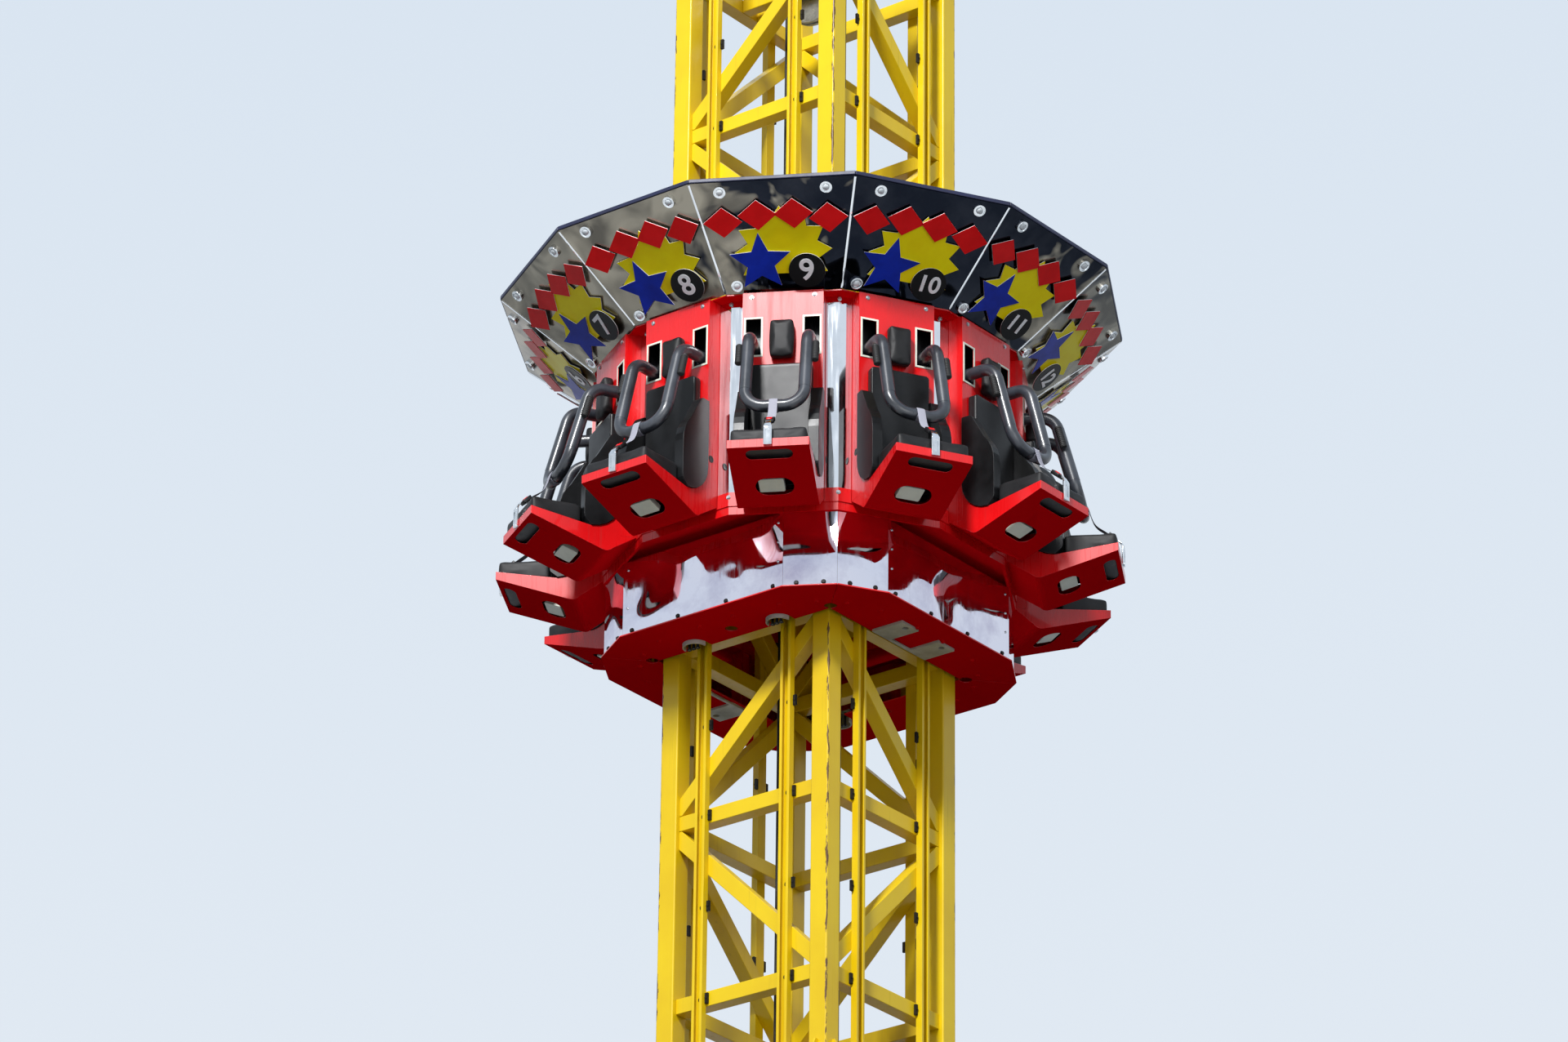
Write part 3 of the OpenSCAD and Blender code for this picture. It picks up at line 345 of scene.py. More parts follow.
# %% Finishes on the steel parts
DRESS = {
    yellow: ["corner_columns", "foot_plates", "lattice_south", "lattice_east", "lattice_north",
             "lattice_west",
             "guide_rails", "base_beams", "rope_beams"],
    red: ["frame_beams_x", "frame_beams_y", "frame_posts", "wheel_forks", "wall_panels", "floor_plates",
          "bottom_plate",
          "deck_plates", "canopy_ribs", "seat_housings", "seat_pans"],
    canopy_mirror: ["canopy_panels"],
    roof_sheet: ["roof_panels"],
    wall_mirror: ["corner_strips"],
    skirt_mirror: ["skirt_panels"],
    rim_blue: ["canopy_rim"],
    chrome: ["canopy_lamps", "belt_latches"],
    primer: ["guide_shoes", "brake_units"],
    rubber: ["guide_wheels"],
    abs_white: ["slot_frames", "control_boxes"],
    shell: ["seat_backs", "seat_wings", "headrests", "seat_cushions"],
    skin: [f"harness_{n}" for n in range(1, 13)],
    zinc: ["head_sheave"],
    wire: ["hoist_rope"],
}
BEVELS = {"seat_housings": 0.004, "seat_pans": 0.002, "wall_panels": 0.001, "bottom_plate": 0.002,
          "frame_beams_x": 0.006,
          "frame_beams_y": 0.006, "frame_posts": 0.006, "lattice_south": 0.006, "lattice_east": 0.006,
          "lattice_north": 0.006, "lattice_west": 0.006, "guide_rails": 0.0015, "base_beams": 0.006,
          "rope_beams": 0.006,
          "foot_plates": 0.003, "canopy_rim": 0.004, "seat_wings": 0.016, "seat_backs": 0.015,
          "slot_frames": 0.001,
          "control_boxes": 0.006, "brake_units": 0.003, "guide_shoes": 0.002, "wheel_forks": 0.002,
          "floor_plates": 0.0015, "canopy_ribs": 0.001}
for finish, names in DRESS.items():
    for name in names:
        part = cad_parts[name]
        part.data.materials.clear()
        part.data.materials.append(finish)
for name, width in BEVELS.items():
    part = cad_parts[name]
    part.modifiers.new("weld", "WELD").merge_threshold = 0.00005
    bevel = part.modifiers.new("edges", "BEVEL")
    bevel.width = width
    bevel.segments = 4 if width > 0.01 else 2
    bevel.limit_method = "ANGLE"
    bevel.angle_limit = math.radians(40)
    bevel.harden_normals = True
print(sum(len(v) for v in DRESS.values()), "steel and plastic parts dressed")

# %% [markdown]
# ## How the new pieces are modelled
# Each new piece starts as a primitive in its place and is shaped in edit mode, as by hand. A few helpers do
# the chores: they open one object with nothing selected, pick faces or edges by where they lie, and close
# it again. What belongs to every seat is modelled once for the seat that faces -Y, and then turned round
# the ring.


# %% Working in edit mode
def open_mesh(piece):
    """Opens one object in edit mode with nothing selected."""
    bpy.ops.object.select_all(action="DESELECT")
    piece.select_set(True)
    bpy.context.view_layer.objects.active = piece
    bpy.ops.object.mode_set(mode="EDIT")
    bpy.ops.mesh.select_all(action="DESELECT")


def pick(piece, kind, test):
    """Selects only the verts, edges or faces whose middle (for faces also the normal) passes a test."""
    bpy.ops.mesh.select_all(action="DESELECT")
    bpy.context.tool_settings.mesh_select_mode = (kind == "verts", kind == "edges", kind == "faces")
    mesh = bmesh.from_edit_mesh(piece.data)
    for part in getattr(mesh, kind):
        if kind == "faces":
            part.select_set(bool(test(part.calc_center_median(), part.normal)))
        else:
            spots = [part.co] if kind == "verts" else [v.co for v in part.verts]
            if test(sum(spots, Vector()) / len(spots)):
                part.select_set(True)
    bmesh.update_edit_mesh(piece.data)


def push(vector):
    """Extrudes what is selected along a vector."""
    bpy.ops.mesh.extrude_region_move(TRANSFORM_OT_translate={"value": vector})


def close_mesh(piece, smooth=None):
    """Turns the faces outwards, leaves edit mode and shades smooth below an angle."""
    bpy.ops.mesh.select_all(action="SELECT")
    bpy.ops.mesh.normals_make_consistent(inside=False)
    bpy.ops.object.mode_set(mode="OBJECT")
    if smooth:
        bpy.ops.object.shade_smooth_by_angle(angle=math.radians(smooth))
    return piece


def settle(piece, matrix=None):
    """Puts the object's own place, and a further matrix, into its mesh."""
    bpy.context.view_layer.update()
    piece.data.transform((matrix or Matrix()) @ piece.matrix_world)
    piece.matrix_world = Matrix()
    return piece


def copy_to(piece, matrix, name):
    """A copy with its own mesh, moved by a matrix."""
    made = piece.copy()
    made.data = piece.data.copy()
    made.data.transform(matrix)
    made.name = name
    bpy.context.collection.objects.link(made)
    return made


def join_all(pieces, name):
    """Joins pieces to one object of a new name."""
    bpy.ops.object.select_all(action="DESELECT")
    for p in pieces:
        p.select_set(True)
    bpy.context.view_layer.objects.active = pieces[0]
    if len(pieces) > 1:
        bpy.ops.object.join()
    pieces[0].name = name
    return pieces[0]


def seat_turn(n):
    """Turns the front seat to the place of seat n."""
    return Matrix.Rotation((n - FRONT_SEAT) * 2 * HALF_SEAT, 4, "Z")


def finish_piece(piece, finish, body):
    """Gives a piece its material and the body that it rides on."""
    piece.data.materials.clear()
    piece.data.materials.append(finish)
    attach(piece, body)
    return piece


def round_the_ring(piece, name, finish, joined=True):
    """Twelve copies of a piece that was modelled for the seat that faces -Y. They ride on the gondola."""
    copies = [copy_to(piece, seat_turn(n), f"{name}_{n}") for n in range(1, 13)]
    bpy.data.objects.remove(piece)
    copies = [join_all(copies, name)] if joined else copies
    return [finish_piece(c, finish, "gondola") for c in copies]


print("helpers ready")

# %% [markdown]
# ## Cushions and headrests
# Both are foam under black vinyl: crowned on top, with sides that pull in between the corners. A block is
# given rounded edges, turned into a fine even skin and blown up a little by the cloth solver, the way that
# foam fills its cover. Doing this once for each shape is enough, because all twelve seats are alike.


# %% Padding
def pad(name, low, high, voxel, swell, round_by, shape=None):
    """A padded block between two corners, in its place at the front seat. shape cuts its plan first."""
    low, high = Vector(low), Vector(high)
    bpy.ops.mesh.primitive_cube_add(size=1, location=(low + high) / 2)
    piece = bpy.context.object
    piece.name = name
    piece.scale = high - low
    settle(piece)
    open_mesh(piece)
    if shape:
        shape(piece)
    pick(piece, "edges", lambda p: True)
    bpy.ops.mesh.bevel(offset=round_by, segments=4, profile=0.6)
    close_mesh(piece)
    piece.data.remesh_voxel_size = voxel
    bpy.ops.object.voxel_remesh()
    before = [v.co.copy() for v in piece.data.vertices]
    cloth = piece.modifiers.new("swell", "CLOTH")
    cloth.settings.use_pressure = True
    cloth.settings.uniform_pressure_force = 4
    cloth.settings.effector_weights.gravity = 0
    for step in range(1, 16):
        bpy.context.scene.frame_set(step)
    bpy.ops.object.modifier_apply(modifier=cloth.name)
    for v, home in zip(piece.data.vertices, before):
        moved = v.co - home
        if moved.length > swell:
            v.co = home + moved.normalized() * swell
    smooth = piece.modifiers.new("even", "SMOOTH")
    smooth.iterations = 3
    bpy.ops.object.modifier_apply(modifier=smooth.name)
    bpy.ops.object.shade_smooth()
    return piece


def between_the_wings(piece):
    """Draws the back of the cushion out to the backrest, narrow enough for the space between the wings."""
    pick(piece, "faces", lambda p, n: n.y > 0.9)
    bpy.ops.mesh.inset(thickness=0.0001)
    bpy.ops.transform.resize(value=(0.142 / 0.1829, 1, 1))
    push((0, 0.141, 0))


cushion = pad("seat_cushion", (-0.183, -1.500, 2.744), (0.183, -1.247, 2.848), 0.009, 0.006, 0.018,
              between_the_wings)
open_mesh(cushion)
for edge in (-0.146, 0.146):
    pick(cushion, "faces", lambda p, n: n.z > 0.5 and abs(p.x - edge) < 0.006 and p.y > -1.47)
    bpy.ops.transform.translate(value=(0, 0, -0.006))
pick(cushion, "faces", lambda p, n: n.z > 0.5 and abs(p.y + 1.255) < 0.006)
bpy.ops.transform.translate(value=(0, 0, -0.005))
close_mesh(cushion, 180)
cushions = round_the_ring(cushion, "seat_cushion", vinyl, joined=False)
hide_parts("seat_cushions")
headrest = pad("headrest", (-0.056, -1.107, 3.419), (0.056, -1.0515, 3.611), 0.006, 0.004, 0.02)
headrests = round_the_ring(headrest, "headrest", vinyl, joined=False)
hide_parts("headrests")
print(len(cushions), "cushions of", len(cushions[0].data.polygons), "faces and", len(headrests),
      "headrests of",
      len(headrests[0].data.polygons))

# %% [markdown]
# ## Seat belts
# A short belt ties each harness down: light grey webbing looped round the harness bar, a black buckle with
# a red button, and a chrome latch that is bolted to the pan's front lip. The webbing swings with the
# harness and leaves the buckle, which stays on the seat. It is a flat strip, extruded point by point round
# the bar and along its hang, then given its thickness, because a simulation would only erase anything this
# thin.

# %% Seat belts
BAR_Y, BAR_Z, LOOP_RADIUS = -1.3178, 3.0466, 0.033
HANG = [(BAR_Y + LOOP_RADIUS * math.cos(math.radians(a)), BAR_Z + LOOP_RADIUS * math.sin(math.radians(a)))
        for a in range(-165, 156, 20)]
HANG += [(-1.364, 3.000), (-1.379, 2.968), (-1.398, 2.949), (-1.424, 2.932), (-1.450, 2.912), (-1.476, 2.889)]
bpy.ops.mesh.primitive_plane_add(size=0.044, location=(0, HANG[0][0], HANG[0][1]))
belt = settle(bpy.context.object)
open_mesh(belt)
pick(belt, "verts", lambda p: p.y > HANG[0][0])
bpy.ops.mesh.delete(type="VERT")
pick(belt, "edges", lambda p: True)
bpy.ops.transform.translate(value=(0, 0.022, 0))
for (y0, z0), (y1, z1) in zip(HANG, HANG[1:]):
    bpy.ops.mesh.extrude_edges_move(TRANSFORM_OT_translate={"value": (0, y1 - y0, z1 - z0)})
close_mesh(belt)
belt.modifiers.new("webbing", "SOLIDIFY").thickness = 0.004
belt.modifiers["webbing"].offset = 0
belt.modifiers.new("soft", "SUBSURF").levels = 1
for modifier in ("webbing", "soft"):
    bpy.ops.object.modifier_apply(modifier=modifier)
webbing, shader, place = new_finish("grey_polyester_webbing", Roughness=0.75)
ribs = add(webbing, "ShaderNodeTexWave", {"Vector": place, "Scale": 90.0, "Distortion": 0.6},
           bands_direction="X").outputs[0]
feed(webbing,
     add(webbing, "ShaderNodeMix", {0: ribs, 6: paint("#A9A9B4"), 7: paint("#7D7D8A")},
         data_type="RGBA").outputs[2],
     shader, "Base Color")
feed(webbing,
     add(webbing, "ShaderNodeBump", {"Height": ribs, "Strength": 0.5, "Distance": 0.0008}).outputs[0], shader,
     "Normal")
settle(belt)
belts = [finish_piece(copy_to(belt, seat_turn(n), f"belt_webbing_{n}"), webbing, f"harness_body_{n}")
         for n in range(1, 13)]
bpy.data.objects.remove(belt)
print("webbing, m:", round(sum(math.dist(a, b) for a, b in zip(HANG, HANG[1:])), 3))

bpy.ops.mesh.primitive_cube_add(size=1, location=(0, 0, 0))
buckle = bpy.context.object
buckle.scale = (0.052, 0.022, 0.050)
settle(buckle)
open_mesh(buckle)
pick(buckle, "faces", lambda p, n: n.z < -0.5)
bpy.ops.transform.resize(value=(0.86, 0.8, 1))
pick(buckle, "edges", lambda p: True)
bpy.ops.mesh.bevel(offset=0.004, segments=3)
pick(buckle, "faces", lambda p, n: n.y < -0.9 and abs(p.x) < 0.005)
bpy.ops.mesh.inset(thickness=0.007)
push((0, 0.003, 0))
close_mesh(buckle, 35)
LEAN = Matrix.Translation((0, -1.463, 2.9)) @ Matrix.Rotation(math.radians(-48), 4, "X")
button = copy_to(buckle, Matrix.Translation((0, -0.0095, 0)) @ Matrix.Diagonal((0.56, 0.4, 0.52, 1)),
                 "button")
round_the_ring(settle(buckle, LEAN), "belt_buckle", shell)
round_the_ring(settle(button, LEAN), "belt_button", red)

bpy.ops.mesh.primitive_cube_add(size=1, location=(0, -1.513, 2.803))
latch = bpy.context.object
latch.scale = (0.040, 0.012, 0.088)
settle(latch)
open_mesh(latch)
pick(latch, "faces", lambda p, n: n.z > 0.5)
push((0, 0.008, 0.022))
bpy.ops.transform.resize(value=(0.7, 0.5, 1))
push((0, 0.012, 0.014))
pick(latch, "faces", lambda p, n: n.y < -0.5 and 2.76 < p.z < 2.85)
bpy.ops.mesh.inset(thickness=0.009)
push((0, 0.006, 0))
pick(latch, "faces", lambda p, n: n.z < -0.5)
push((0, 0, -0.006))
pick(latch, "edges", lambda p: abs(p.x) > 0.013)
bpy.ops.mesh.bevel(offset=0.002, segments=2)
close_mesh(latch, 35)
latches = round_the_ring(settle(latch), "belt_latch", chrome)
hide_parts("belt_latches")
print("belts:", len(belts[0].data.polygons), "faces of webbing")

# %% [markdown]
# ## Canopy signs
# In front of each canopy panel stands a sign of cut-out boards with a pale edge: a garland of red lozenges,
# a yellow sunburst, a blue star and a black disc with the seat's number. Each board is a flat circle of few
# corners, shaped, extruded and laid on the sloping panel.

# %% The canopy's slope
APOTHEM = math.cos(HALF_SEAT)
FOOT, RIM = Vector((0, -1.067 * APOTHEM, 3.792)), Vector((0, -1.540 * APOTHEM + 0.008, 4.155))
up_slope = (RIM - FOOT).normalized()
off_canopy = Vector((1, 0, 0)).cross(up_slope)
ON_CANOPY = Matrix(((1, up_slope.x, off_canopy.x, 0), (0, up_slope.y, off_canopy.y, FOOT.y),
                    (0, up_slope.z, off_canopy.z, FOOT.z), (0, 0, 0, 1)))
print("canopy slope", round((RIM - FOOT).length, 4), "m long")


# %% Sign boards
def board(corners, radius, middle, level, shape=None, stretch=(1, 1, 1), turn=0.0, grow=0.0):
    """A flat board on the front canopy panel. level is its stand-off, and grow makes the pale edge."""
    bpy.ops.mesh.primitive_circle_add(vertices=corners, radius=radius, fill_type="NGON",
                                      rotation=(0, 0, turn))
    made = bpy.context.object
    made.scale = stretch
    settle(made)
    if shape:
        shape(made)
    if grow:
        open_mesh(made)
        bpy.ops.mesh.select_all(action="SELECT")
        bpy.ops.mesh.inset(thickness=grow, use_outset=True, use_even_offset=True)
        bpy.ops.mesh.select_all(action="SELECT")
        bpy.ops.mesh.dissolve_limited()
        close_mesh(made)
    open_mesh(made)
    bpy.ops.mesh.select_all(action="SELECT")
    push((0, 0, 0.003))
    close_mesh(made)
    return settle(made, ON_CANOPY @ Matrix.Translation((middle[0], middle[1], level)))


def starred(points, waist):
    """A shape that pulls every second corner in, and so makes a star or a sunburst."""
    def pull_in(made):
        """Draws every corner that isn't a tip towards the middle."""
        open_mesh(made)
        step = math.tau / (2 * points)
        tips = {round(k * step, 3) for k in range(0, 2 * points, 2)}
        pick(made, "verts",
             lambda p: min(abs((math.atan2(p.x, p.y) % math.tau) - t) for t in tips) > 0.5 * step)
        bpy.ops.transform.resize(value=(waist, waist, 1), center_override=(0, 0, 0))
        close_mesh(made)
    return pull_in


def flat_foot(made):
    """Cuts a sunburst off straight below its middle."""
    open_mesh(made)
    bpy.ops.mesh.select_all(action="SELECT")
    bpy.ops.mesh.bisect(plane_co=(0, -0.115, 0), plane_no=(0, 1, 0), use_fill=False, clear_inner=True)
    close_mesh(made)


def sunburst(made):
    """A burst of twelve points with a flat foot."""
    starred(12, 0.74)(made)
    flat_foot(made)


sign_yellow = plain_finish("sign_yellow_gloss", "#FFEF06", "#F7E000", (0.3, 0.42), 300, 0.0002,
                           Specular_IOR_Level=0.15)
sign_red = plain_finish("sign_red_gloss", "#EE0A10", "#D8060C", (0.3, 0.42), 300, 0.0002,
                        Specular_IOR_Level=0.15)
sign_blue = plain_finish("sign_blue_gloss", "#0A2CB4", "#08208C", (0.3, 0.42), 300, 0.0002,
                         Specular_IOR_Level=0.15)
sign_black = plain_finish("sign_black_gloss", "#040405", "#08080A", (0.3, 0.42), 300, 0.0002,
                          Specular_IOR_Level=0.12)
sign_pale = plain_finish("sign_pale_edge", "#F4F6F8", "#E4E8EC", (0.3, 0.42), 300, 0.0002)
DISC = (0.125, 0.115)
LOZENGES = [(-0.252, 0.378), (-0.086, 0.408), (0.086, 0.408), (0.252, 0.378)]
MOTIFS = [("sun", sign_yellow, [((0.02, 0.215), 24, 0.232, sunburst, (1, 1, 1), 0.0)], 0.010),
          ("star", sign_blue, [((-0.092, 0.165), 10, 0.152, starred(5, 0.45), (1, 1, 1), 0.0)], 0.018),
          ("lozenge", sign_red, [(p, 4, 0.098, None, (0.95, 0.78, 1), 0.0) for p in LOZENGES], 0.018),
          ("disc", sign_black, [(DISC, 40, 0.087, None, (1, 1, 1), 0.0)], 0.026)]
for name, finish, shapes, level in MOTIFS:
    for part, grow, offset, colour in (("edge", 0.009, 0.0, sign_pale), ("face", 0.0, 0.003, finish)):
        boards = [board(c, r, middle, level + offset, shape, stretch, turn, grow)
                  for middle, c, r, shape, stretch, turn in shapes]
        round_the_ring(join_all(boards, "sign"), f"sign_{name}_{part}", colour)
for n in range(1, 13):
    bpy.ops.object.text_add()
    number = bpy.context.object
    number.data.body = str(n)
    number.data.size = 0.150 if n < 10 else 0.118
    number.data.align_x, number.data.align_y = "CENTER", "CENTER"
    number.data.extrude = 0.0012
    number.data.offset = 0.0025
    bpy.ops.object.convert(target="MESH")
    number = bpy.context.object
    settle(number, seat_turn(n) @ ON_CANOPY @ Matrix.Translation((*DISC, 0.0335)))
    number.name = f"seat_number_{n}"
    finish_piece(number, sign_pale, "gondola")

# %% [markdown]
# ## Canopy lamps
# Three lamps sit on every canopy panel, two under the rim and one at the foot. Each is a chrome cup with a
# stepped rim and a pale pearl dome. One lamp is modelled standing up at the origin and then copied to its
# places on the front panel, and round the ring.


# %% A lamp
def stand_on(spot, outward):
    """Matrix that stands a piece, modelled pointing up at the origin, on a spot and facing outward."""
    return Matrix.Translation(spot) @ Vector(outward).to_track_quat("Z", "Y").to_matrix().to_4x4()


def copies_at(piece, matrices, name):
    """Copies of a piece at each matrix, joined to one object. The piece itself goes."""
    made = join_all([copy_to(piece, m, name) for m in matrices], name)
    bpy.data.objects.remove(piece)
    return made


bpy.ops.mesh.primitive_cylinder_add(vertices=24, radius=0.0295, depth=0.013, location=(0, 0, 0.0065))
cup = settle(bpy.context.object)
open_mesh(cup)
pick(cup, "faces", lambda p, n: n.z > 0.9)
bpy.ops.mesh.inset(thickness=0.0035)
push((0, 0, -0.0035))
bpy.ops.mesh.inset(thickness=0.004)
push((0, 0, 0.002))
bpy.ops.mesh.inset(thickness=0.003)
push((0, 0, -0.005))
pick(cup, "edges", lambda p: p.z > 0.0125 and p.xy.length > 0.028)
bpy.ops.mesh.bevel(offset=0.001, segments=2)
close_mesh(cup, 35)
bpy.ops.mesh.primitive_uv_sphere_add(segments=16, ring_count=10, radius=0.0165, location=(0, 0, 0))
dome = bpy.context.object
dome.scale = (1, 1, 0.55)
settle(dome)
open_mesh(dome)
pick(dome, "faces", lambda p, n: p.z < -0.004)
bpy.ops.transform.resize(value=(1, 1, 0.1), center_override=(0, 0, -0.004))
close_mesh(dome, 60)
dome.data.transform(Matrix.Translation((0, 0, 0.0095)))
LAMPS = [(-0.2534, 0.5293), (0.2534, 0.5293), (-0.2172, 0.044)]
lamp_places = [ON_CANOPY @ Matrix.Translation((x, y, 0.0042)) for x, y in LAMPS]
lens = plain_finish("pearl_acrylic_dome", "#D8DEE2", "#C4CCD2", (0.06, 0.12), 200, 0.0001, IOR=1.49,
                    Coat_Weight=0.5)
cups = round_the_ring(copies_at(cup, lamp_places, "lamp_cup"), "lamp_cup", chrome)
domes = round_the_ring(copies_at(dome, lamp_places, "lamp_dome"), "lamp_dome", lens)
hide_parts("canopy_lamps")
lamp_count = 12 * len(LAMPS)
print("lamps:", lamp_count, "of", len(cups[0].data.polygons) // lamp_count, "and",
      len(domes[0].data.polygons) // lamp_count, "faces")

# %% [markdown]
# ## Folds on the canopy seams
# Where two canopy panels meet, a narrow folded strip covers the joint. It is the thin bright line on every
# corner. It starts as a block along the seam, whose outer face is pinched so that it takes the shape of a
# shallow roof.

# %% Seam folds
seam_foot = Vector((0, -1.0696, 3.7889))
seam_head = Vector((0, -1.5342, 4.1519))
along = (seam_head - seam_foot).normalized()
off_panel = Vector((1, 0, 0)).cross(along)
bpy.ops.mesh.primitive_cube_add(size=1, location=(0, 0, 0))
fold = bpy.context.object
fold.scale = (0.010, (seam_head - seam_foot).length - 0.012, 0.004)
settle(fold)
open_mesh(fold)
pick(fold, "faces", lambda p, n: n.z > 0.9)
push((0, 0, 0.0015))
bpy.ops.transform.resize(value=(0.35, 1, 1))
close_mesh(fold)
on_seam = Matrix(((1, along.x, off_panel.x, 0), (0, along.y, off_panel.y, 0), (0, along.z, off_panel.z, 0),
                  (0, 0, 0, 1)))
seam_middle = (seam_foot + seam_head) / 2
settle(fold, Matrix.Rotation(HALF_SEAT, 4,
                             "Z") @ Matrix.Translation(seam_middle + off_panel * 0.0005) @ on_seam)
round_the_ring(fold, "seam_fold", wall_mirror)
print("seam folds:", round((seam_head - seam_foot).length, 3), "m long")

# %% [markdown]
# ## Bolts and rivets
# Sheet metal is held by bolts that show: two at the top of each red housing, one on each wall corner, a row
# along the foot of the skirt and rivets up its seams. A hexagon head on a washer serves for all of them, in
# its own size and finish, and it has few faces because it is repeated by the hundred.


# %% Bolt heads
def bolt(radius, height):
    """A hexagon head on a washer, standing up at the origin."""
    bpy.ops.mesh.primitive_cylinder_add(vertices=6, radius=radius, depth=height, location=(0, 0, height / 2))
    head = settle(bpy.context.object)
    open_mesh(head)
    pick(head, "faces", lambda p, n: n.z > 0.9)
    bpy.ops.mesh.inset(thickness=radius * 0.12)
    bpy.ops.transform.translate(value=(0, 0, height * 0.12))
    close_mesh(head)
    bpy.ops.mesh.primitive_cylinder_add(vertices=12, radius=radius * 1.35, depth=height * 0.25,
                                        location=(0, 0, height * 0.125))
    washer = settle(bpy.context.object)
    open_mesh(washer)
    pick(washer, "faces", lambda p, n: n.z > 0.9)
    bpy.ops.mesh.inset(thickness=radius * 0.1)
    close_mesh(washer)
    return join_all([head, washer], "bolt")


def rivet(radius):
    """A low round head at the origin."""
    bpy.ops.mesh.primitive_cylinder_add(vertices=8, radius=radius, depth=radius * 0.5,
                                        location=(0, 0, radius * 0.25))
    head = settle(bpy.context.object)
    open_mesh(head)
    pick(head, "faces", lambda p, n: n.z > 0.9)
    push((0, 0, radius * 0.25))
    bpy.ops.transform.resize(value=(0.6, 0.6, 1))
    close_mesh(head, 50)
    return head


corner_way = Vector((math.sin(HALF_SEAT), -math.cos(HALF_SEAT), 0))
housing_spots = [stand_on((x, -1.0513, 3.757), (0, -1, 0)) for x in (-0.15, 0.15)]
corner_spots = [stand_on(corner_way * 1.0045 + Vector((0, 0, z)), corner_way) for z in (3.766, 2.752)]
round_the_ring(copies_at(bolt(0.008, 0.006), housing_spots + corner_spots, "wall_bolts"), "wall_bolts", zinc)

SKIRT = [(0.960, -30), (0.960, 30), (0.990, 45), (0.960, 60)]


def skirt_point(k, share, z):
    """A spot on the skirt's sheet k, at a share of its length, and the way that the sheet faces."""
    ends = [Vector((r * math.sin(math.radians(a)), -r * math.cos(math.radians(a)), z)) for r,
            a in (SKIRT[k], SKIRT[k + 1])]
    run = (ends[1] - ends[0]).normalized()
    return ends[0].lerp(ends[1], share), Vector((run.y, -run.x, 0))


def round_the_sides(piece, spots, name, finish):
    """Copies of a piece at spots on one side of the skirt or tower, turned to all four sides."""
    placed = [Matrix.Rotation(math.radians(90 * q), 4, "Z") @ stand_on(*s) for q in range(4) for s in spots]
    return finish_piece(copies_at(piece, placed, name), finish, "gondola")


FOOT_ROW = [(0, (0.06, 0.35, 0.65, 0.94)), (1, (0.25, 0.75)), (2, (0.25, 0.75))]
skirt_foot = [skirt_point(k, s, 2.300) for k, shares in FOOT_ROW for s in shares]
round_the_sides(bolt(0.009, 0.007), skirt_foot, "skirt_bolts", black_iron)
skirt_seams = [skirt_point(0, s, z) for s in (0.03, 0.97) for z in (2.42, 2.52, 2.62)]
round_the_sides(rivet(0.006), skirt_seams, "skirt_rivets", zinc)
PLATE_ROW = [(-0.36, -0.70), (0.36, -0.70), (-0.10, -0.72), (0.10, -0.72), (-0.52, -0.62), (0.52, -0.62)]
plate_spots = [(Vector((x, y, 2.2768)), (0, 0, -1)) for x, y in PLATE_ROW]
round_the_sides(bolt(0.010, 0.008), plate_spots, "plate_bolts", red)
print("bolts on wall, skirt and bottom plate set")

# %% [markdown]
# ## Grommets
# Near the front edge of each housing side a rubber grommet guards a cable hole. A torus is flattened and a
# dark rubber disc fills its middle as painted shade for the hole, so that it reads as a hole with a lip.

# %% Grommets
bpy.ops.mesh.primitive_torus_add(major_segments=20, minor_segments=8, major_radius=0.014, minor_radius=0.004)
lip = bpy.context.object
lip.scale = (1, 1, 0.6)
settle(lip)
# The dark disc in the middle is painted shade standing in for the hole.
bpy.ops.mesh.primitive_cylinder_add(vertices=20, radius=0.013, depth=0.002, location=(0, 0, 0.001))
hole_shade_disc = settle(bpy.context.object)
open_mesh(hole_shade_disc)
pick(hole_shade_disc, "faces", lambda p, n: n.z > 0.9)
bpy.ops.mesh.inset(thickness=0.005)
bpy.ops.transform.translate(value=(0, 0, -0.001))
close_mesh(hole_shade_disc, 40)
grommet = join_all([lip, hole_shade_disc], "grommet")
grommet_spots = [stand_on((s * 0.1932, -1.022, 2.95), (s, 0, 0)) for s in (-1, 1)]
round_the_ring(copies_at(grommet, grommet_spots, "grommet"), "grommet", rubber)
print("grommets set")

# %% [markdown]
# ## Grips on the harness
# A rubber sleeve with rings is pushed over each side handle of the harness. It is a short cylinder whose
# top is extruded again and again, wide and narrow in turn. The sleeves ride on their own harness, so they
# swing with it.

# %% Ribbed grips
LEAN_OF_CHEST = math.radians(75)
chest_way = Vector((0, -math.cos(LEAN_OF_CHEST), -math.sin(LEAN_OF_CHEST)))
grip_start = Vector((0.181, -1.21693, 3.42329))
bpy.ops.mesh.primitive_cylinder_add(vertices=16, radius=0.0158, depth=0.004, location=(0, 0, 0.002))
sleeve = settle(bpy.context.object)
open_mesh(sleeve)
pick(sleeve, "faces", lambda p, n: n.z > 0.9)
RINGS = 11
for _ in range(RINGS):
    for step_up, widen in ((0.001, 1.14), (0.0045, 1.0), (0.001, 1 / 1.14), (0.0032, 1.0)):
        push((0, 0, step_up))
        bpy.ops.transform.resize(value=(widen, widen, 1))
close_mesh(sleeve, 40)
for n in range(1, 13):
    placed = [seat_turn(n) @ stand_on(Vector((s * grip_start.x, grip_start.y,
                                              grip_start.z)) + chest_way * 0.006, chest_way)
              for s in (-1, 1)]
    pair = join_all([copy_to(sleeve, m, f"grip_sleeves_{n}") for m in placed], f"grip_sleeves_{n}")
    finish_piece(pair, rubber, f"harness_body_{n}")
print("grip sleeves of", len(sleeve.data.polygons), "faces")
bpy.data.objects.remove(sleeve)

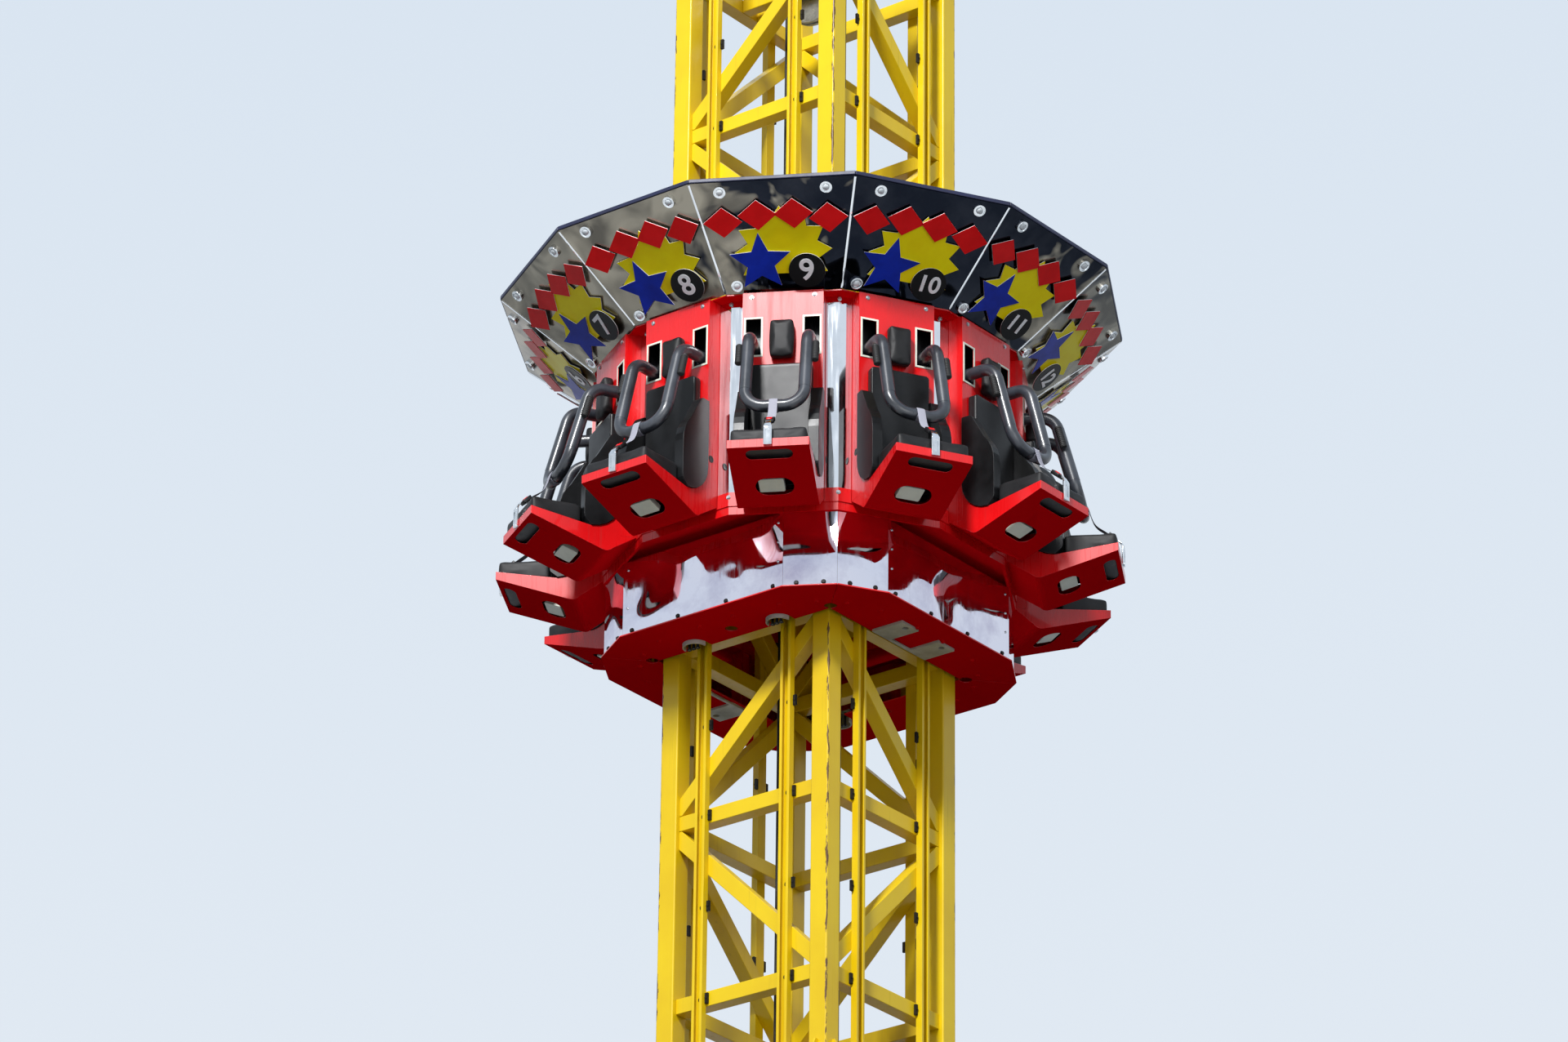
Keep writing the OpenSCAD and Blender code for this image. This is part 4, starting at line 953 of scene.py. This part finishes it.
# %% [markdown]
# ## Clamps and anchors on the tower
# The guide rails are clamped to the lattice at every level and half way between, and each clamp shows as a
# pair of dark lugs beside the rail with a bolt in its groove. At the ground every foot plate has four
# anchor bolts and four gussets, and each end of the rope is held in a tapered socket.

# %% Rail clamps
RAIL_X, RAIL_BACK = 0.25, -0.475
bpy.ops.mesh.primitive_cube_add(size=1, location=(0.0385, RAIL_BACK - 0.0065, 0))
lug = bpy.context.object
lug.scale = (0.016, 0.012, 0.052)
settle(lug)
open_mesh(lug)
pick(lug, "faces", lambda p, n: n.y < -0.9)
bpy.ops.mesh.inset(thickness=0.003)
push((0, -0.0015, 0))
close_mesh(lug)
lug_bolt = settle(bolt(0.0055, 0.004), stand_on((0.0385, RAIL_BACK - 0.0135, 0), (0, -1, 0)))
groove_bolt = settle(bolt(0.009, 0.006), stand_on((0, -0.481, 0), (0, -1, 0)))
half_clamp = join_all([lug, lug_bolt], "half_clamp")
other_half = copy_to(half_clamp, Matrix.Translation((-0.077, 0, 0)), "other_half")
clamp = join_all([half_clamp, other_half, groove_bolt], "clamp")
levels = [0.5 + 0.46 * k for k in range(13)]
clamp_places = [Matrix.Rotation(math.radians(90 * q), 4, "Z") @ Matrix.Translation((x, 0, z))
                for q in range(4) for x in (-RAIL_X, RAIL_X) for z in levels]
clamps = finish_piece(copies_at(clamp, clamp_places, "rail_clamps"), black_iron, "tower")
print("rail clamps:", len(clamp_places), "with", len(clamps.data.polygons), "faces")

# %% Anchors, gussets and rope sockets
anchor = bolt(0.017, 0.016)
bpy.ops.mesh.primitive_cylinder_add(vertices=12, radius=0.010, depth=0.045, location=(0, 0, 0.0225))
threaded = settle(bpy.context.object)
open_mesh(threaded)
pick(threaded, "edges", lambda p: p.z > 0.044)
bpy.ops.mesh.bevel(offset=0.002, segments=1)
close_mesh(threaded)
anchor = join_all([anchor, threaded], "anchor")
anchor_places = [Matrix.Translation((sx * 0.45 + i * 0.095, sy * 0.45 + j * 0.095, 0.0252))
                 for sx in (-1, 1) for sy in (-1, 1) for i in (-1, 1) for j in (-1, 1)]
finish_piece(copies_at(anchor, anchor_places, "anchor_bolts"), zinc, "tower")

bpy.ops.mesh.primitive_cube_add(size=1, location=(0, -0.084, 0.0853))
gusset = bpy.context.object
gusset.scale = (0.010, 0.066, 0.12)
settle(gusset)
open_mesh(gusset)
pick(gusset, "edges", lambda p: p.y < -0.11 and p.z > 0.14)
bpy.ops.transform.translate(value=(0, 0.050, 0))
pick(gusset, "edges", lambda p: p.y < -0.11 and p.z < 0.03)
bpy.ops.mesh.bevel(offset=0.012, segments=1)
close_mesh(gusset)
gusset_places = [Matrix.Translation((sx * 0.45, sy * 0.45, 0)) @ Matrix.Rotation(math.radians(90 * q), 4, "Z")
                 for sx in (-1, 1) for sy in (-1, 1) for q in range(4)]
finish_piece(copies_at(gusset, gusset_places, "gussets"), yellow, "tower")

bpy.ops.mesh.primitive_cylinder_add(vertices=20, radius=0.026, depth=0.05, location=(0, 0, 0.101))
socket = settle(bpy.context.object)
open_mesh(socket)
pick(socket, "faces", lambda p, n: n.z > 0.9)
push((0, 0, 0.09))
bpy.ops.transform.resize(value=(0.72, 0.72, 1))
push((0, 0, 0.015))
bpy.ops.transform.resize(value=(0.9, 0.9, 1))
pick(socket, "faces", lambda p, n: n.z < -0.9)
bpy.ops.mesh.inset(thickness=0.006)
close_mesh(socket, 40)
finish_piece(copies_at(socket, [Matrix.Translation((x, 0, 0)) for x in (-0.183, 0.183)], "rope_sockets"),
             zinc, "tower")
print("anchors:", len(anchor_places), "gussets:", len(gusset_places))

# %% [markdown]
# ## Studs in the guide shoes
# Three dark studs stand in each pale guide shoe and steer it along its rail. A sleeve over each gives them
# the colour of oiled steel, with a nut below.

# %% Shoe studs
bpy.ops.mesh.primitive_cylinder_add(vertices=12, radius=0.0068, depth=0.069, location=(0, 0, 0.0350))
stud = settle(bpy.context.object)
open_mesh(stud)
pick(stud, "faces", lambda p, n: n.z < -0.9)
bpy.ops.mesh.inset(thickness=0.001)
push((0, 0, -0.004))
close_mesh(stud, 40)
nut = bolt(0.0095, 0.008)
nut.data.transform(Matrix.Translation((0, 0, 0.001)))
stud = join_all([stud, nut], "shoe_stud")
stud_places = [Matrix.Rotation(math.pi * q, 4, "Z") @ Matrix.Translation((s * RAIL_X + d, -0.577, 2.2475))
               for q in (0, 1) for s in (-1, 1) for d in (-0.025, 0, 0.025)]
finish_piece(copies_at(stud, stud_places, "shoe_studs"), black_iron, "gondola")
print("shoe studs:", len(stud_places))

# %% [markdown]
# ## Light, floor and sky
# The ride is looked at from below the floor's level, so the floor lets the camera look through it from
# underneath and is plain and pale from above. Real ground is darker than this floor, and a pale one would
# throw so much light up that the red undersides lost their depth, so light that bounces off it sees a grey
# floor. One large soft lamp stands for the sun behind the camera, and a pale sky fills the shadows.

# %% Light, floor and sky
sky = bpy.data.worlds.new("pale_sky")
bpy.context.scene.world = sky
sky.use_nodes = True
backdrop = sky.node_tree.nodes["Background"]
direction = add(sky, "ShaderNodeTexCoord").outputs["Generated"]
tall = add(sky, "ShaderNodeSeparateXYZ", {0: direction}).outputs[2]
upwards = add(sky, "ShaderNodeMapRange", {0: tall, 1: -0.1, 2: 0.6}).outputs[0]
colour = add(sky, "ShaderNodeMix", {0: upwards, 6: paint("#F3F5F7"), 7: paint("#D5E2F0")},
             data_type="RGBA").outputs[2]
sky.node_tree.links.new(colour, backdrop.inputs["Color"])
path = add(sky, "ShaderNodeLightPath").outputs
seen = add(sky, "ShaderNodeMath", {0: path["Is Camera Ray"], 1: path["Is Glossy Ray"]},
           operation="MAXIMUM").outputs[0]
seen = add(sky, "ShaderNodeMath", {0: seen, 1: path["Is Transmission Ray"]}, operation="MAXIMUM").outputs[0]
ground = add(sky, "ShaderNodeMapRange", {0: tall, 1: -0.15, 2: 0.1, 3: 0.15, 4: 0.62}).outputs[0]
strength = add(sky, "ShaderNodeMix", {0: seen, 2: ground, 3: 1.0}).outputs[0]
sky.node_tree.links.new(strength, backdrop.inputs["Strength"])

bpy.ops.mesh.primitive_circle_add(vertices=96, radius=60, fill_type="NGON")
floor = bpy.context.object
floor.name = "floor"
pale, shader, place = new_finish("pale_screed", Roughness=0.8)
cloudy = add(pale, "ShaderNodeTexNoise", {"Vector": place, "Scale": 0.8, "Detail": 4.0}).outputs[0]
screed = add(pale, "ShaderNodeMix", {0: cloudy, 6: paint("#D9DCDD"), 7: paint("#CDD0D2")},
             data_type="RGBA").outputs[2]
bounced = add(pale, "ShaderNodeLightPath").outputs["Is Diffuse Ray"]
feed(pale, add(pale, "ShaderNodeMix", {0: bounced, 6: screed, 7: paint("#55585B")},
               data_type="RGBA").outputs[2], shader, "Base Color")
from_below = add(pale, "ShaderNodeNewGeometry").outputs["Backfacing"]
through = add(pale, "ShaderNodeMixShader",
              {0: from_below, 1: shader.outputs[0], 2: add(pale, "ShaderNodeBsdfTransparent").outputs[0]})
pale.node_tree.links.new(through.outputs[0], pale.node_tree.nodes["Material Output"].inputs["Surface"])
floor.data.materials.append(pale)


def lamp(name, direction, size, power, distance):
    """A square soft lamp that shines on the gondola from a direction."""
    target = Vector((0, 0, 3.3))
    spot = target + Vector(direction).normalized() * distance
    bpy.ops.object.light_add(type="AREA", location=spot)
    made = bpy.context.object
    made.name = name
    made.data.size = size
    made.data.energy = power
    made.rotation_euler = (target - spot).to_track_quat("-Z", "Y").to_euler()
    return made


lamp("sun", (0.35, -1.0, 0.75), 4.7, 12600, 30)
lamp("fill", (1.0, -0.6, -0.02), 8, 500, 16)
bpy.context.scene.view_settings.view_transform = "Standard"
